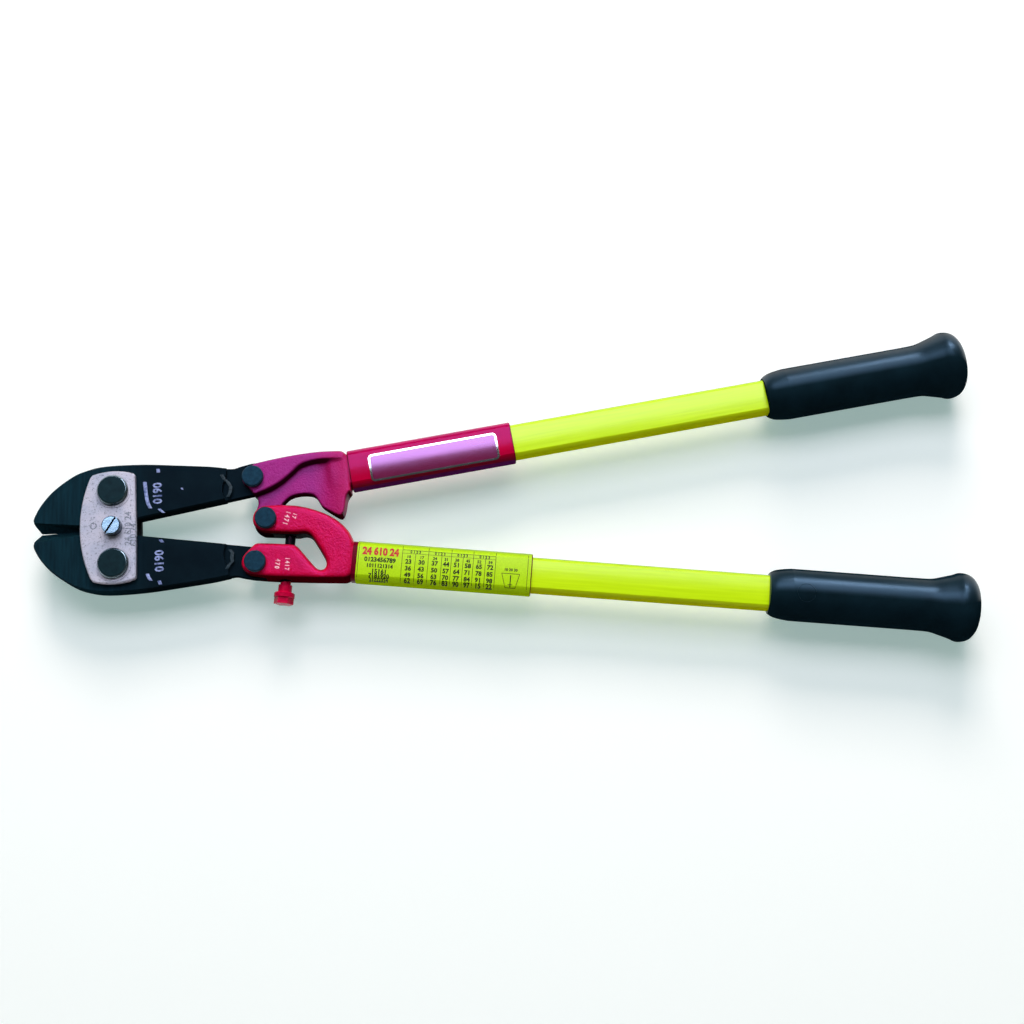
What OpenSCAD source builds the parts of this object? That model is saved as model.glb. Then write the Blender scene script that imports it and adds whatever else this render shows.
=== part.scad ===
// Bolt cutters with compound leverage: two jaws between side plates, two forked
// castings that drive them, and two long handles with rubber grips.
// The tool lies flat: +X towards the grips, +Y towards the upper handle, +Z up.
// Shapes are drawn around the handle pivot, with z = 0 in the tool's middle plane.

/* [Linkage] */
// Distance from the handle pivot to the line of the two jaw bolts
pivot_to_jaw_bolts = 97; // [93:1:101]
// Distance between the two jaw bolts
jaw_bolt_spacing = 47.6; // [46:0.4:50]
// How far the two link bolts lie ahead of the handle pivot
link_bolt_lead = 7.5; // [7:0.25:8.5]
// Distance between the two link bolts
link_bolt_spacing = 55.6; // [54.8:0.4:58]

/* [Jaws] */
// Thickness of the jaws
jaw_t = 12.7; // [11:0.1:14]
// Length of a jaw ahead of its bolt
jaw_nose = 52; // [49:1:58]
// Height of a jaw's back above its bolt
jaw_back = 17.4; // [16.4:0.2:19]
// Angle that each jaw's inner edge makes with the centreline behind the side plates
jaw_inner_angle = 10.1; // [9.9:0.1:10.6]
// Width of the ground bevel at the tip of the cutting edge
bevel_tip = 6.5; // [4:0.5:8]
// Width of the ground bevel where it runs under the side plates
bevel_root = 2.8; // [2:0.2:4]
// Gap between the cutting edges at the tips, with the handles closed
tip_gap = 0.8; // [0.4:0.2:2]
// Thickness of the rear tongue that goes into the fork
tongue_t = 7.5; // [6:0.5:8.5]
// Radius of the tongue's round end
tongue_r = 10.2; // [9.4:0.2:10.4]
// Distance from the link bolt to the step where the tongue starts
tongue_len = 19; // [17:0.5:24]

/* [Side plates] */
// Thickness of each side plate
plate_t = 4; // [3:0.5:5]
// Height of the side plates along their straight rear edge
plate_h = 69; // [66:1:72]
// Distance from the jaw bolts to the plates' front corners
plate_front = 14.2; // [13.4:0.2:16]
// Distance from the jaw bolts to the plates' rear edge
plate_rear = 14; // [13:0.2:15]
// Height of the raised ring round each jaw bolt
plate_ring_h = 0.5; // [0.2:0.1:1]

/* [Jaw bolts] */
// Diameter of the jaw bolts' shanks
jaw_bolt_d = 12; // [10:0.5:13]
// Diameter of the jaw bolts' heads
jaw_head_d = 19.8; // [18:0.2:22]
// Height of the jaw bolts' heads
jaw_head_h = 2.8; // [2.2:0.2:5]
// Width across flats of the jaw bolts' nuts
jaw_nut_af = 18; // [17:0.5:20]
// Height of the jaw bolts' nuts
jaw_nut_h = 7.5; // [6:0.5:8]

/* [Centre screw] */
// Diameter of the centre screw's shank
centre_d = 6; // [4:0.5:6]
// Diameter of the centre screw's slotted head
centre_head_d = 12; // [9:0.5:13]
// Height of the centre screw's head
centre_head_h = 6.5; // [3:0.5:7]
// Direction of the screwdriver slot
centre_slot_angle = 56; // [0:1:180]
// Outside diameter of the spacer tube between the side plates
spacer_d = 8.4; // [7.6:0.2:9]

/* [Castings] */
// Thickness of the castings at their arms and ears
casting_t = 17; // [15:0.5:19]
// Thickness of the upper casting's web and pivot lug
web_t = 8; // [7:0.5:9]
// Radius of the pivot lug
lug_r = 8.9; // [8:0.1:9.2]
// Width of the slit between the lower casting's two arms
slit_w = 5.8; // [5:0.2:6.4]
// Length of the tang that goes into the ferrule
tang_len = 46; // [35:1:50]

/* [Link bolts] */
// Diameter of the link bolts and the handle pivot bolt
link_bolt_d = 8; // [7:0.5:8.5]
// Diameter of their round heads
link_head_d = 13.6; // [12.4:0.2:14]
// Height of their round heads
link_head_h = 4; // [3:0.2:6]
// Width across flats of their nuts
link_nut_af = 13; // [12:0.5:14]
// Height of their nuts
link_nut_h = 6.5; // [5:0.5:7]

/* [Adjusting screw] */
// Diameter of the adjusting screw's threaded shank
adjust_d = 6.6; // [5:0.2:7]
// Diameter of the painted neck below the casting
adjust_neck_d = 8.8; // [7.6:0.2:9]
// Width of the adjusting screw's head
adjust_head_d = 13.2; // [12:0.2:14]
// Distance along the lower handle from the handle pivot to the screw
adjust_x = 15.8; // [15:0.2:16.6]

/* [Handles] */
// Angle of the upper handle from the centreline, handles closed
upper_angle = 6.9; // [6.5:0.1:7.5]
// Angle of the lower handle from the centreline, handles closed
lower_angle = 7.95; // [7.5:0.05:8.5]
// Sideways distance from the handle pivot to each handle's axis
handle_offset = 22.6; // [22.2:0.1:23]
// Distance along the upper handle from the handle pivot to the end of its grip
upper_length = 465.6; // [430:1:500]
// Distance along the lower handle from the handle pivot to the end of its grip
lower_length = 455.9; // [430:1:500]
// Width of the handle bars
bar_w = 22.4; // [20:0.2:23]
// Thickness of the handle bars
bar_t = 13; // [12:0.5:15]
// How far the bars' broad faces bow out
face_crown = 0.7; // [0.3:0.1:1]
// Radius of the bars' long edges
bar_edge_r = 4.5; // [2:0.5:6]

/* [Ferrules] */
// Distance along a handle from the handle pivot to the start of its ferrule
ferrule_start = 57.4; // [57:0.2:60]
// Length of the upper ferrule
upper_ferrule_len = 107; // [100:1:120]
// Length of the lower ferrule
lower_ferrule_len = 114.5; // [100:1:120]
// Wall of the ferrules
ferrule_wall = 1.6; // [1.2:0.1:2.2]
// Thickness of the vinyl wraps
wrap_t = 0.3; // [0.2:0.05:0.5]
// Diameter of the cross pins
pin_d = 5; // [3:0.5:6]

/* [Grips] */
// Length of the grips
grip_len = 133; // [115:1:140]
// Diameter of the grips
grip_d = 33.4; // [30:0.2:36]
// Diameter of a grip at its mouth
grip_mouth_d = 27; // [26:0.2:30]
// Diameter of the flared end
flare_d = 44; // [40:0.5:48]

/* [Hidden] */
$fn = 64;

// Clearances
pin_fit = 0.05;      // radial, shaft in a bore
side_fit = 0.15;     // each side of a plate or tongue that slides
round_fit = 0.5;     // between a turning round end and the floor behind it
socket_fit = 0.1;    // round a bar or tang in its socket
groove = 1.1;        // open joint between the upper casting and its ferrule
ferrule_gap = 0.4;   // between the lower casting and its ferrule
wrap_fit = 0.05;     // between a ferrule and its vinyl wrap
wrap_back = 0.5;     // ferrule left bare behind its wrap

// Pivots, around the handle pivot
JAW_BOLT = [-pivot_to_jaw_bolts, jaw_bolt_spacing / 2];
LINK_BOLT = [-link_bolt_lead, link_bolt_spacing / 2];
UPPER = 1;
LOWER = -1;

// Levels above the middle plane
jaw_half = jaw_t / 2;
plate_in = jaw_half + side_fit;
plate_out = plate_in + plate_t;
casting_half = casting_t / 2;
web_half = web_t / 2;
tongue_half = tongue_t / 2;
mid_z = flare_d / 2;

// Handles
ferrule_w = bar_w + 2 * (ferrule_wall + socket_fit);
ferrule_t = bar_t + 2 * (face_crown + ferrule_wall + socket_fit);
bar_start = ferrule_start + tang_len + 2;
bar_in_grip = grip_len - 22;
function handle_angle(side) = side == UPPER ? upper_angle : -lower_angle;
function handle_length(side) = side == UPPER ? upper_length : lower_length;
function ferrule_len(side) = side == UPPER ? upper_ferrule_len : lower_ferrule_len;
// Point at a distance along a handle, and a sideways distance out from its axis
function on_axis(side, along, out = 0) =
    let (a = handle_angle(side), n = side * (handle_offset + out))
    [along * cos(a) - n * sin(a), along * sin(a) + n * cos(a)];

// The origin is below the middle of the whole tool, on the surface it lies on
flare_back = 12;
flare_top = on_axis(UPPER, upper_length - flare_back, flare_d / 2);
flare_bottom = on_axis(LOWER, lower_length - flare_back, flare_d / 2);
tool_middle = [(on_axis(UPPER, upper_length).x - pivot_to_jaw_bolts - jaw_nose) / 2,
               (flare_top.y + flare_bottom.y) / 2];

module place() translate([-tool_middle.x, -tool_middle.y, mid_z]) children();
module along_handle(side) rotate([0, 0, handle_angle(side)]) translate([0, side * handle_offset, 0])
    children();
module at(point) translate([point.x, point.y, 0]) children();
module flip_lower(side) mirror([0, side == LOWER ? 1 : 0, 0]) children();

// ---- Outlines: points are [x, y, width of the rounded edge there] ----

function unit(v) = v / norm(v);
function inward(a, b) = let (d = unit([b.x - a.x, b.y - a.y])) [-d.y, d.x];

// Arc round centre c
function arc(c, r, from, to, edge, n = 12) =
    [for (i = [0:n]) let (t = from + (to - from) * i / n) [c.x + r * cos(t), c.y + r * sin(t), edge]];

// Smooth curve through points, with n steps between two of them
function blend(a, b, c, d, t) =
    0.5 * (2 * b + (c - a) * t + (2 * a - 5 * b + 4 * c - d) * t * t + (3 * b - a - 3 * c + d) * t * t * t);
function curve(p, n = 4) =
    let (last = len(p) - 1)
    concat([for (i = [0:last - 1], k = [0:n - 1])
                blend(i == 0 ? 2 * p[0] - p[1] : p[i - 1], p[i], p[i + 1],
                      i == last - 1 ? 2 * p[last] - p[last - 1] : p[i + 2], k / n)],
           [p[last]]);

// Point b of an outline, moved in by a share of its edge width
function eased(a, b, c, share) =
    let (m = inward(a, b), n = inward(b, c), s = b[2] * share / (1 + m * n))
    [b.x + s * (m.x + n.x), b.y + s * (m.y + n.y)];

// Forging of an outline (drawn counter-clockwise), from -half to +half, with
// rounded front and rear edges that start "rise" below each face.  The edges run on a
// little past each face, and the face is then cut flat.
module forging(outline, half, rise, steps = 3) {
    n = len(outline);
    round_edge = [for (k = [0:steps]) let (a = 90 * k / steps) [1 - sin(a), half - rise * (1 - cos(a))]];
    past = round_edge[0] + 0.4 * (round_edge[0] - round_edge[1]);
    upper = concat([past], [for (k = [1:steps]) round_edge[k]]);
    rings = concat([for (s = upper) [s[0], -s[1]]], [for (k = [steps:-1:0]) upper[k]]);
    top = len(rings) - 1;
    difference() {
        polyhedron(
            points = [for (r = rings, i = [0:n - 1])
                          let (p = eased(outline[(i + n - 1) % n], outline[i], outline[(i + 1) % n], r[0]))
                          [p.x, p.y, r[1]]],
            faces = concat([[for (i = [0:n - 1]) i]],
                           [for (j = [0:top - 1], i = [0:n - 1])
                                [j * n + i, (j + 1) * n + i, (j + 1) * n + (i + 1) % n]],
                           [for (j = [0:top - 1], i = [0:n - 1])
                                [j * n + i, (j + 1) * n + (i + 1) % n, j * n + (i + 1) % n]],
                           [[for (i = [n - 1:-1:0]) top * n + i]]),
            convexity = 8);
        for (m = [0, 1]) mirror([0, 0, m]) translate([-400, -400, half]) cube([800, 800, 10]);
    }
}

// ---- Small shared shapes ----

module bore(point, r) at(point) cylinder(r = r, h = 3 * casting_t, center = true);

// Flat layer from -half to +half with the 2D shape of its children
module layer(half) translate([0, 0, -half]) linear_extrude(height = 2 * half) children();

// Rectangle with round corners
module round_rect(w, h, r) {
    square([w - 2 * r, h], center = true);
    square([w, h - 2 * r], center = true);
    for (x = [-1, 1], y = [-1, 1]) translate([x * (w / 2 - r), y * (h / 2 - r)]) circle(r = r);
}

// Section of the handles grown by "grow": a rounded rectangle with slightly bowed broad faces
crown_r = (bar_w * bar_w / 4 + face_crown * face_crown) / (2 * face_crown);
crown_out = bar_t / 2 + face_crown;
module handle_profile(grow) intersection() {
    round_rect(bar_w + 2 * grow, 2 * (crown_out + grow), bar_edge_r + grow);
    translate([0, crown_out - crown_r]) circle(r = crown_r + grow, $fn = 360);
    translate([0, crown_r - crown_out]) circle(r = crown_r + grow, $fn = 360);
}

// Bar along a handle from one distance to another
module handle_section(from, to, grow) translate([from, 0, 0]) rotate([90, 0, 90])
    linear_extrude(height = to - from) handle_profile(grow);

// Round bolt: its shank from z = low to the seat at z = seat, and a head with a bevelled rim
module round_bolt(d, low, seat, head_d, head_h, bevel) {
    tip = 0.8;
    rotate_extrude() polygon([[0, low], [d / 2 - tip, low], [d / 2, low + tip], [d / 2, seat],
                              [head_d / 2, seat], [head_d / 2, seat + head_h - bevel],
                              [head_d / 2 - bevel, seat + head_h], [0, seat + head_h]]);
}

// Hexagon nut hanging below z = seat, with a bevelled outer face
module hex_nut(af, hole_d, h, seat) difference() {
    corner_r = af / 2 / cos(30);
    bevel = 0.8;
    intersection() {
        translate([0, 0, seat - h]) cylinder(r = corner_r, h = h, $fn = 6);
        rotate_extrude() polygon([[0, seat - h], [af / 2 - 0.2, seat - h], [corner_r + 0.1, seat - h + bevel],
                                  [corner_r + 0.1, seat], [0, seat]]);
    }
    translate([0, 0, seat - h - 1]) cylinder(d = hole_d + 2 * pin_fit, h = h + 2);
}

// ---- Jaws ----

jaw_edge = 0.9;
jaw_back_y = JAW_BOLT.y + jaw_back;
nose_x = JAW_BOLT.x - jaw_nose;
cut_rest = 0.03;                           // each cutting edge stops this far from the centreline
cut_end = nose_x + 16;                     // the edges meet from here to the heel
heel_r = JAW_BOLT.y - side_fit;            // the heels roll on each other round the jaw bolts
heel_end = asin(15 / heel_r);
heel_end_point = arc(JAW_BOLT, heel_r, -90 + heel_end, -90 + heel_end, jaw_edge, 1)[0];
neck_y = LINK_BOLT.y + 8.3;

// Upper jaw, counter-clockwise from the tip of its cutting edge
JAW_OUTLINE = concat(
    [[nose_x + 4, tip_gap / 2, 0.3], [cut_end, cut_rest, 0.3], [JAW_BOLT.x - 13, cut_rest, jaw_edge]],
    arc(JAW_BOLT, heel_r, -90 - heel_end / 2, -90 + heel_end, jaw_edge, 10),
    arc(LINK_BOLT, tongue_r, -90 + jaw_inner_angle, 100, jaw_edge, 14),
    curve([[LINK_BOLT.x - 8.2, neck_y + 0.3, jaw_edge], [LINK_BOLT.x - 14.7, neck_y - 1, jaw_edge],
           [LINK_BOLT.x - 28, neck_y + 1, jaw_edge], [JAW_BOLT.x + 44, jaw_back_y - 2.3, jaw_edge],
           [JAW_BOLT.x + 18, jaw_back_y, jaw_edge], [JAW_BOLT.x - 6, jaw_back_y + 0.2, jaw_edge],
           [JAW_BOLT.x - 19, jaw_back_y - 2.2, jaw_edge], [nose_x + 24, JAW_BOLT.y + 11.4, jaw_edge],
           [nose_x + 13, JAW_BOLT.y + 3.6, jaw_edge], [nose_x + 5.2, JAW_BOLT.y - 5, jaw_edge],
           [nose_x + 0.9, JAW_BOLT.y - 12.4, 0.6], [nose_x, JAW_BOLT.y - 16, 0.4],
           [nose_x + 1.2, JAW_BOLT.y - 19.4, 0.3]], 4));

// Wedge removed from the front of the cutting edge, from the bevel line down to the edge
module bevel_cut() {
    flat = 0.35;                           // half the width of the blunt edge itself
    back = JAW_BOLT.x - 17;
    hull() for (end = [[nose_x - 2, tip_gap / 2, bevel_tip], [back, cut_rest, bevel_root]])
        translate([end[0], end[1], 0]) rotate([90, 0, 90]) linear_extrude(height = 0.1)
            polygon([[-3, flat], [0, flat], [end[2], jaw_half], [end[2], jaw_half + 2], [-3, jaw_half + 2]]);
}

// Room in front of the thin tongue, with a wavy edge where the full thickness ends
module tongue_relief() translate([0, 0, tongue_half]) linear_extrude(height = jaw_t)
    polygon(concat([for (y = [0:2:48]) [LINK_BOLT.x - tongue_len + 1.5 * sin(14 * (y - LINK_BOLT.y)), y]],
                   [[LINK_BOLT.x + 20, 48], [LINK_BOLT.x + 20, 0]]));

// How far the upper jaw's bolt hole is lengthened towards the centreline
open_pivot_slot = 3.5;

// Half notch in a heel that clears the spacer while the heels roll
module heel_notch() {
    r = spacer_d / 2 + round_fit;
    roll = 3.8;
    for (x = [0, roll]) translate([JAW_BOLT.x + x, 0, 0]) cylinder(r = r, h = 2 * jaw_t, center = true);
    translate([JAW_BOLT.x, -r, -jaw_t]) cube([roll, 2 * r, 2 * jaw_t]);
}

module jaw() difference() {
    forging(JAW_OUTLINE, jaw_half, jaw_edge, 1);
    for (m = [0, 1]) mirror([0, 0, m]) {
        bevel_cut();
        tongue_relief();
    }
    heel_notch();
    bore(LINK_BOLT, link_bolt_d / 2 + pin_fit);
}

module upper_jaw() color([0.05, 0.09, 0.11]) place() difference() {
    jaw();
    r = jaw_bolt_d / 2 + round_fit;
    bore(JAW_BOLT, r);
    bore(JAW_BOLT - [0, open_pivot_slot], r);
    translate([JAW_BOLT.x - r, JAW_BOLT.y - open_pivot_slot, -jaw_t])
        cube([2 * r, open_pivot_slot, 2 * jaw_t]);
}

module lower_jaw() color([0.05, 0.09, 0.11]) place() flip_lower(LOWER) difference() {
    jaw();
    bore(JAW_BOLT, jaw_bolt_d / 2 + pin_fit);
}

// ---- Side plates, with their bolts and nuts ----

plate_edge = 0.7;
ring_r = jaw_head_d / 2 + 1.8;

// Arc that bows out by "bow" to the right of the way from a to b
function bowed(a, b, bow, edge, n = 12) =
    let (half = norm(b - a) / 2, r = (half * half + bow * bow) / (2 * bow), m = (a + b) / 2,
         out = -inward(a, b), c = m - out * (r - bow), sweep = asin(half / r), mid = atan2(out.y, out.x))
    arc(c, r, mid - sweep, mid + sweep, edge, n);

front_corner = [JAW_BOLT.x - plate_front, plate_h / 2 - 0.3];
rear_corner = [JAW_BOLT.x + plate_rear, plate_h / 2];
PLATE_OUTLINE = concat(
    bowed([front_corner.x + 1, -front_corner.y - 0.5], [rear_corner.x - 1, -rear_corner.y], 2.1,
          plate_edge, 8),
    bowed([rear_corner.x, 1 - rear_corner.y], [rear_corner.x, rear_corner.y - 1], 0.3, plate_edge, 4),
    bowed([rear_corner.x - 1, rear_corner.y], [front_corner.x + 1, front_corner.y + 0.5], 2.1,
          plate_edge, 8),
    bowed([front_corner.x - 0.5, front_corner.y - 1.5], [front_corner.x - 0.5, 1.5 - front_corner.y], 6.6,
          plate_edge, 16));

module side_plate() difference() {
    union() {
        translate([0, 0, (plate_in + plate_out) / 2]) forging(PLATE_OUTLINE, plate_t / 2, 0.5, 1);
        for (s = [1, -1]) translate([JAW_BOLT.x, s * JAW_BOLT.y, plate_out - 0.5])
            cylinder(r1 = ring_r, r2 = ring_r - 0.3, h = plate_ring_h + 0.5);
    }
    for (s = [1, -1]) bore([JAW_BOLT.x, s * JAW_BOLT.y], jaw_bolt_d / 2 + pin_fit);
    bore([JAW_BOLT.x, 0], centre_d / 2 + pin_fit);
}

module front_plate() color([0.72, 0.68, 0.72]) place() side_plate();
module rear_plate() color([0.12, 0.15, 0.17]) place() mirror([0, 0, 1]) side_plate();

bolt_seat = plate_out + plate_ring_h;

module jaw_bolt(side) at([JAW_BOLT.x, side * JAW_BOLT.y]) difference() {
    round_bolt(jaw_bolt_d, -mid_z, bolt_seat, jaw_head_d, jaw_head_h, 1);
    // Two shallow keyways on the head's rim
    for (a = [205, 285]) rotate([0, 0, a]) translate([jaw_head_d / 2 - 0.6, -1.6, bolt_seat + 1])
        cube([2, 3.2, jaw_head_h]);
}
module jaw_nut(side) at([JAW_BOLT.x, side * JAW_BOLT.y])
    hex_nut(jaw_nut_af, jaw_bolt_d, jaw_nut_h, -bolt_seat);

module upper_jaw_bolt() color([0.08, 0.11, 0.12]) place() jaw_bolt(UPPER);
module lower_jaw_bolt() color([0.08, 0.11, 0.12]) place() jaw_bolt(LOWER);
module upper_jaw_nut() color([0.08, 0.11, 0.12]) place() jaw_nut(UPPER);
module lower_jaw_nut() color([0.08, 0.11, 0.12]) place() jaw_nut(LOWER);

centre_nut_h = 5;
module centre_screw() color([0.82, 0.85, 0.86]) place() at([JAW_BOLT.x, 0]) difference() {
    round_bolt(centre_d, -plate_out - centre_nut_h - 1.5, plate_out, centre_head_d, centre_head_h, 0.7);
    rotate([0, 0, centre_slot_angle])
        translate([-centre_head_d, -0.85, plate_out + centre_head_h - 1.8]) cube([2 * centre_head_d, 1.7, 3]);
}
module centre_nut() color([0.82, 0.85, 0.86]) place() at([JAW_BOLT.x, 0])
    hex_nut(10, centre_d, centre_nut_h, -plate_out);
module centre_spacer() color([0.6, 0.6, 0.62]) place() at([JAW_BOLT.x, 0]) difference() {
    cylinder(d = spacer_d, h = 2 * plate_in, center = true);
    cylinder(d = centre_d + 2 * pin_fit, h = 2 * jaw_t, center = true);
}

// ---- Castings ----

edge_rise = 2.4;
shoulder_x = ferrule_start - groove;       // where each casting's body ends, along its handle
slot_half = tongue_half + side_fit;
lug_slot_half = web_half + side_fit;

// Tang that fills the ferrule, with a hole for the first cross pin
pin_in_bar = 25;         // distance from the bar's front end to its pin
pin_1 = ferrule_start + tang_len * 0.55;
pin_2 = bar_start + pin_in_bar;
module tang(side) along_handle(side) difference() {
    handle_section(shoulder_x - 12, ferrule_start + tang_len, 0);
    translate([pin_1, 0, 0]) cylinder(d = pin_d + 2 * pin_fit, h = 2 * casting_t, center = true);
}

// Room for a jaw's tongue, as it turns on the link bolt with its neck leading away to the front
module tongue_slot() {
    r = tongue_r + round_fit;
    at(LINK_BOLT) {
        cylinder(r = r, h = 2 * slot_half, center = true);
        layer(slot_half) polygon([[6, r - 2], [5.5, r + 1.8], [-40, 62], [-60, -60], [-8.5, -12], [0, -r]]);
    }
}

// Thick arm of the upper casting, from its ear along the top to the ferrule
ear_r = link_head_d / 2 + 0.7;
shoulder_top = on_axis(UPPER, shoulder_x, ferrule_w / 2 + 0.2);
shoulder_low = on_axis(UPPER, shoulder_x, -ferrule_w / 2);
ARM_OUTLINE = concat(
    [[LINK_BOLT.x + 0.3, LINK_BOLT.y - 12, 0.8]],
    curve([[LINK_BOLT.x + 7.3, LINK_BOLT.y - 10, 1.6], [LINK_BOLT.x + 12.8, LINK_BOLT.y - 7.6, 1.6],
           [LINK_BOLT.x + 19.1, LINK_BOLT.y - 3.9, 1.6], [LINK_BOLT.x + 25.5, LINK_BOLT.y + 1.3, 1.6],
           [LINK_BOLT.x + 32, LINK_BOLT.y + 6.2, 1.6], [LINK_BOLT.x + 44.5, LINK_BOLT.y + 8.4, 1.6],
           [shoulder_top.x - 0.4, shoulder_top.y - 7, 1.6]]),
    [[shoulder_top.x - 0.8, shoulder_top.y - 1.6, 1.4]],
    curve([[shoulder_top.x - 2.2, shoulder_top.y, 1.4], [LINK_BOLT.x + 44, LINK_BOLT.y + 14.8, 1.6],
           [LINK_BOLT.x + 29, LINK_BOLT.y + 13.8, 1.6], [LINK_BOLT.x + 13, LINK_BOLT.y + 11.6, 1.2],
           [LINK_BOLT.x + 1, LINK_BOLT.y + 9.4, 0.8]]),
    arc(LINK_BOLT, ear_r, 125, 240, 0.5, 10));

// Web of the upper casting, with the pivot lug
WEB_OUTLINE = concat(
    arc([0, 0], lug_r, 158, 382, 0.8, 16),
    curve([[10.4, 9.6, 1], [14.6, 13.4, 1.2], [20, 15.1, 1.4], [26.5, 15.1, 1.4], [30.2, 14.3, 1.4]]),
    [[44, 12, 0.6], [shoulder_top.x - 3, shoulder_top.y - 8, 0.6], [LINK_BOLT.x + 30, LINK_BOLT.y + 10, 0.6],
     [LINK_BOLT.x + 6, LINK_BOLT.y + 5, 0.6], [LINK_BOLT.x + 1.2, LINK_BOLT.y - 11, 1], [-5.4, 11.2, 1]]);

// End of the casting at the ferrule, with the nub that hangs down beside the lower casting
nub_half = casting_half - 0.5;
NUB_OUTLINE = concat(
    curve([[30.4, 14, 1], [32.4, 12.2, 1.2], [33.9, 9.3, 1.4], [36, 6.1, 1.6], [40.5, 2.9, 1.6], [45, 0, 1.6],
           [47.3, -1, 1.2], [49.1, 0.5, 1.2], [50.6, 4.9, 1.4], [51.6, 10.4, 1.4], [53.3, 13.6, 1.2],
           [shoulder_low.x + 0.2, shoulder_low.y - 1.3, 1]], 3),
    [[shoulder_top.x + 0.2, shoulder_top.y - 1.6, 1.2], [shoulder_top.x - 1.4, shoulder_top.y - 0.4, 1.2],
     [38, 37.5, 0.6], [31, 35.5, 0.6]]);

// It rises from just under the web's face in a slope that ends at full thickness
module nub() {
    low = web_half - 0.2;
    difference() {
        forging(NUB_OUTLINE, nub_half, edge_rise);
        for (m = [0, 1]) mirror([0, 0, m]) translate([0, 50, 0]) rotate([90, 0, 0])
            linear_extrude(height = 60) polygon([[20, low], [35.2, low], [38, low + 0.5], [41, low + 1.4],
                                                 [44, low + 2.4], [47, low + 3.4], [50, nub_half - 0.2],
                                                 [52, nub_half + 0.3], [52, 12], [20, 12]]);
    }
}

module upper_casting() color([0.62, 0.05, 0.22]) place() difference() {
    union() {
        forging(ARM_OUTLINE, casting_half, edge_rise);
        forging(WEB_OUTLINE, web_half, 1);
        nub();
        tang(UPPER);
    }
    tongue_slot();
    bore(LINK_BOLT, link_bolt_d / 2 + pin_fit);
    bore([0, 0], link_bolt_d / 2 + pin_fit);
}

// Lower casting: two arms with a slit between them that opens into a slanted eye
low_top = on_axis(LOWER, ferrule_start - ferrule_gap, -ferrule_w / 2);
low_bottom = on_axis(LOWER, ferrule_start - ferrule_gap, ferrule_w / 2);
slit_top = -9.7;
slit_slope = tan(5.6);
function slit_y(x, below = 0) = slit_top - below - slit_slope * x;
LOWER_OUTLINE = concat(
    arc([LINK_BOLT.x, -LINK_BOLT.y], tongue_r - 0.4, 150, 255, 1.1, 12),
    curve([[-2.5, -38.4, 1], [7, -39.5, 1], [26.6, -41.2, 1], [low_bottom.x - 3, low_bottom.y + 0.2, 1]]),
    [[low_bottom.x, low_bottom.y + 1, 1], [low_top.x, low_top.y - 1, 1.4]],
    curve([[low_top.x - 0.5, low_top.y + 0.8, 2.6], [52.6, -11.6, 3.6], [47.8, -5.6, 3.9], [41.6, -0.6, 3.9],
           [35, 3, 3.5], [27.4, 6, 2.8], [19.6, 8, 2], [11, 9.2, 1.4], [3.4, 9.6, 1.1]]),
    arc([0, 0], 9.6, 100, 235, 1.1, 14),
    [[-3, slit_y(-3), 0.8]],
    curve([[19.6, slit_y(19.6), 0.8], [23.6, -11, 0.9], [27.6, -12.6, 1], [30.8, -17.6, 1], [35.6, -26.6, 1],
           [37.2, -30.6, 1.2], [36.8, -33.6, 2], [34.6, -35.2, 3], [31.6, -34.4, 3.6],
           [28.4, -31, 3.6], [24, -25.2, 3.4], [19.6, -19.4, 3]]),
    [[17, slit_y(17, slit_w), 1.4], [-7.6, slit_y(-7.6, slit_w), 0.8]]);

// Room round the pivot lug, open over the angles that the web swings through
module lug_slot() {
    layer(lug_slot_half) {
        circle(r = 10.3);
        polygon([[0, 0], [40 * cos(25), 40 * sin(25)], [0, 40], [-40, 0]]);
    }
}

// The adjusting screw's axis lies across the lower handle
module along_screw() rotate([0, 0, -lower_angle]) translate([adjust_x, 0, 0]) rotate([90, 0, 0]) children();

screw_top = 6;          // the shank ends this far below the handle pivot's level
neck_top = 40.9;        // its painted neck starts just below the casting
screw_head = 45.8;      // its round flange starts here
flange_h = 3.4;         // thickness of the flange
screw_hex_h = 4;        // height of the hexagon under it
module lower_casting() color([0.75, 0.04, 0.16]) place() difference() {
    union() {
        forging(LOWER_OUTLINE, casting_half, edge_rise);
        tang(LOWER);
    }
    flip_lower(LOWER) tongue_slot();
    lug_slot();
    bore([LINK_BOLT.x, -LINK_BOLT.y], link_bolt_d / 2 + pin_fit);
    bore([0, 0], link_bolt_d / 2 + pin_fit);
    along_screw() cylinder(d = adjust_d + 2 * pin_fit, h = 60);
}

module adjusting_screw() color([0.7, 0.04, 0.16]) place() along_screw() {
    shank = adjust_d / 2;
    neck = adjust_neck_d / 2;
    flange = adjust_head_d / 2;
    flange_end = screw_head + flange_h;
    rotate_extrude() polygon([[0, screw_top], [shank - 0.8, screw_top], [shank, screw_top + 0.8],
                              [shank, neck_top], [neck, neck_top], [neck, screw_head],
                              [flange - 0.6, screw_head], [flange, screw_head + 0.6],
                              [flange, flange_end - 0.4], [flange - 0.6, flange_end], [0, flange_end]]);
    translate([0, 0, flange_end - 0.4]) cylinder(d = adjust_head_d - 0.6, h = screw_hex_h + 0.4, $fn = 6);
}

// ---- Link bolts and the handle pivot bolt ----

link_nut_z = -casting_half - link_nut_h;
module link_bolt(point) at(point)
    round_bolt(link_bolt_d, link_nut_z - 1.5, casting_half, link_head_d, link_head_h, 0.6);
module link_nut(point) at(point) hex_nut(link_nut_af, link_bolt_d, link_nut_h, -casting_half);

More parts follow.
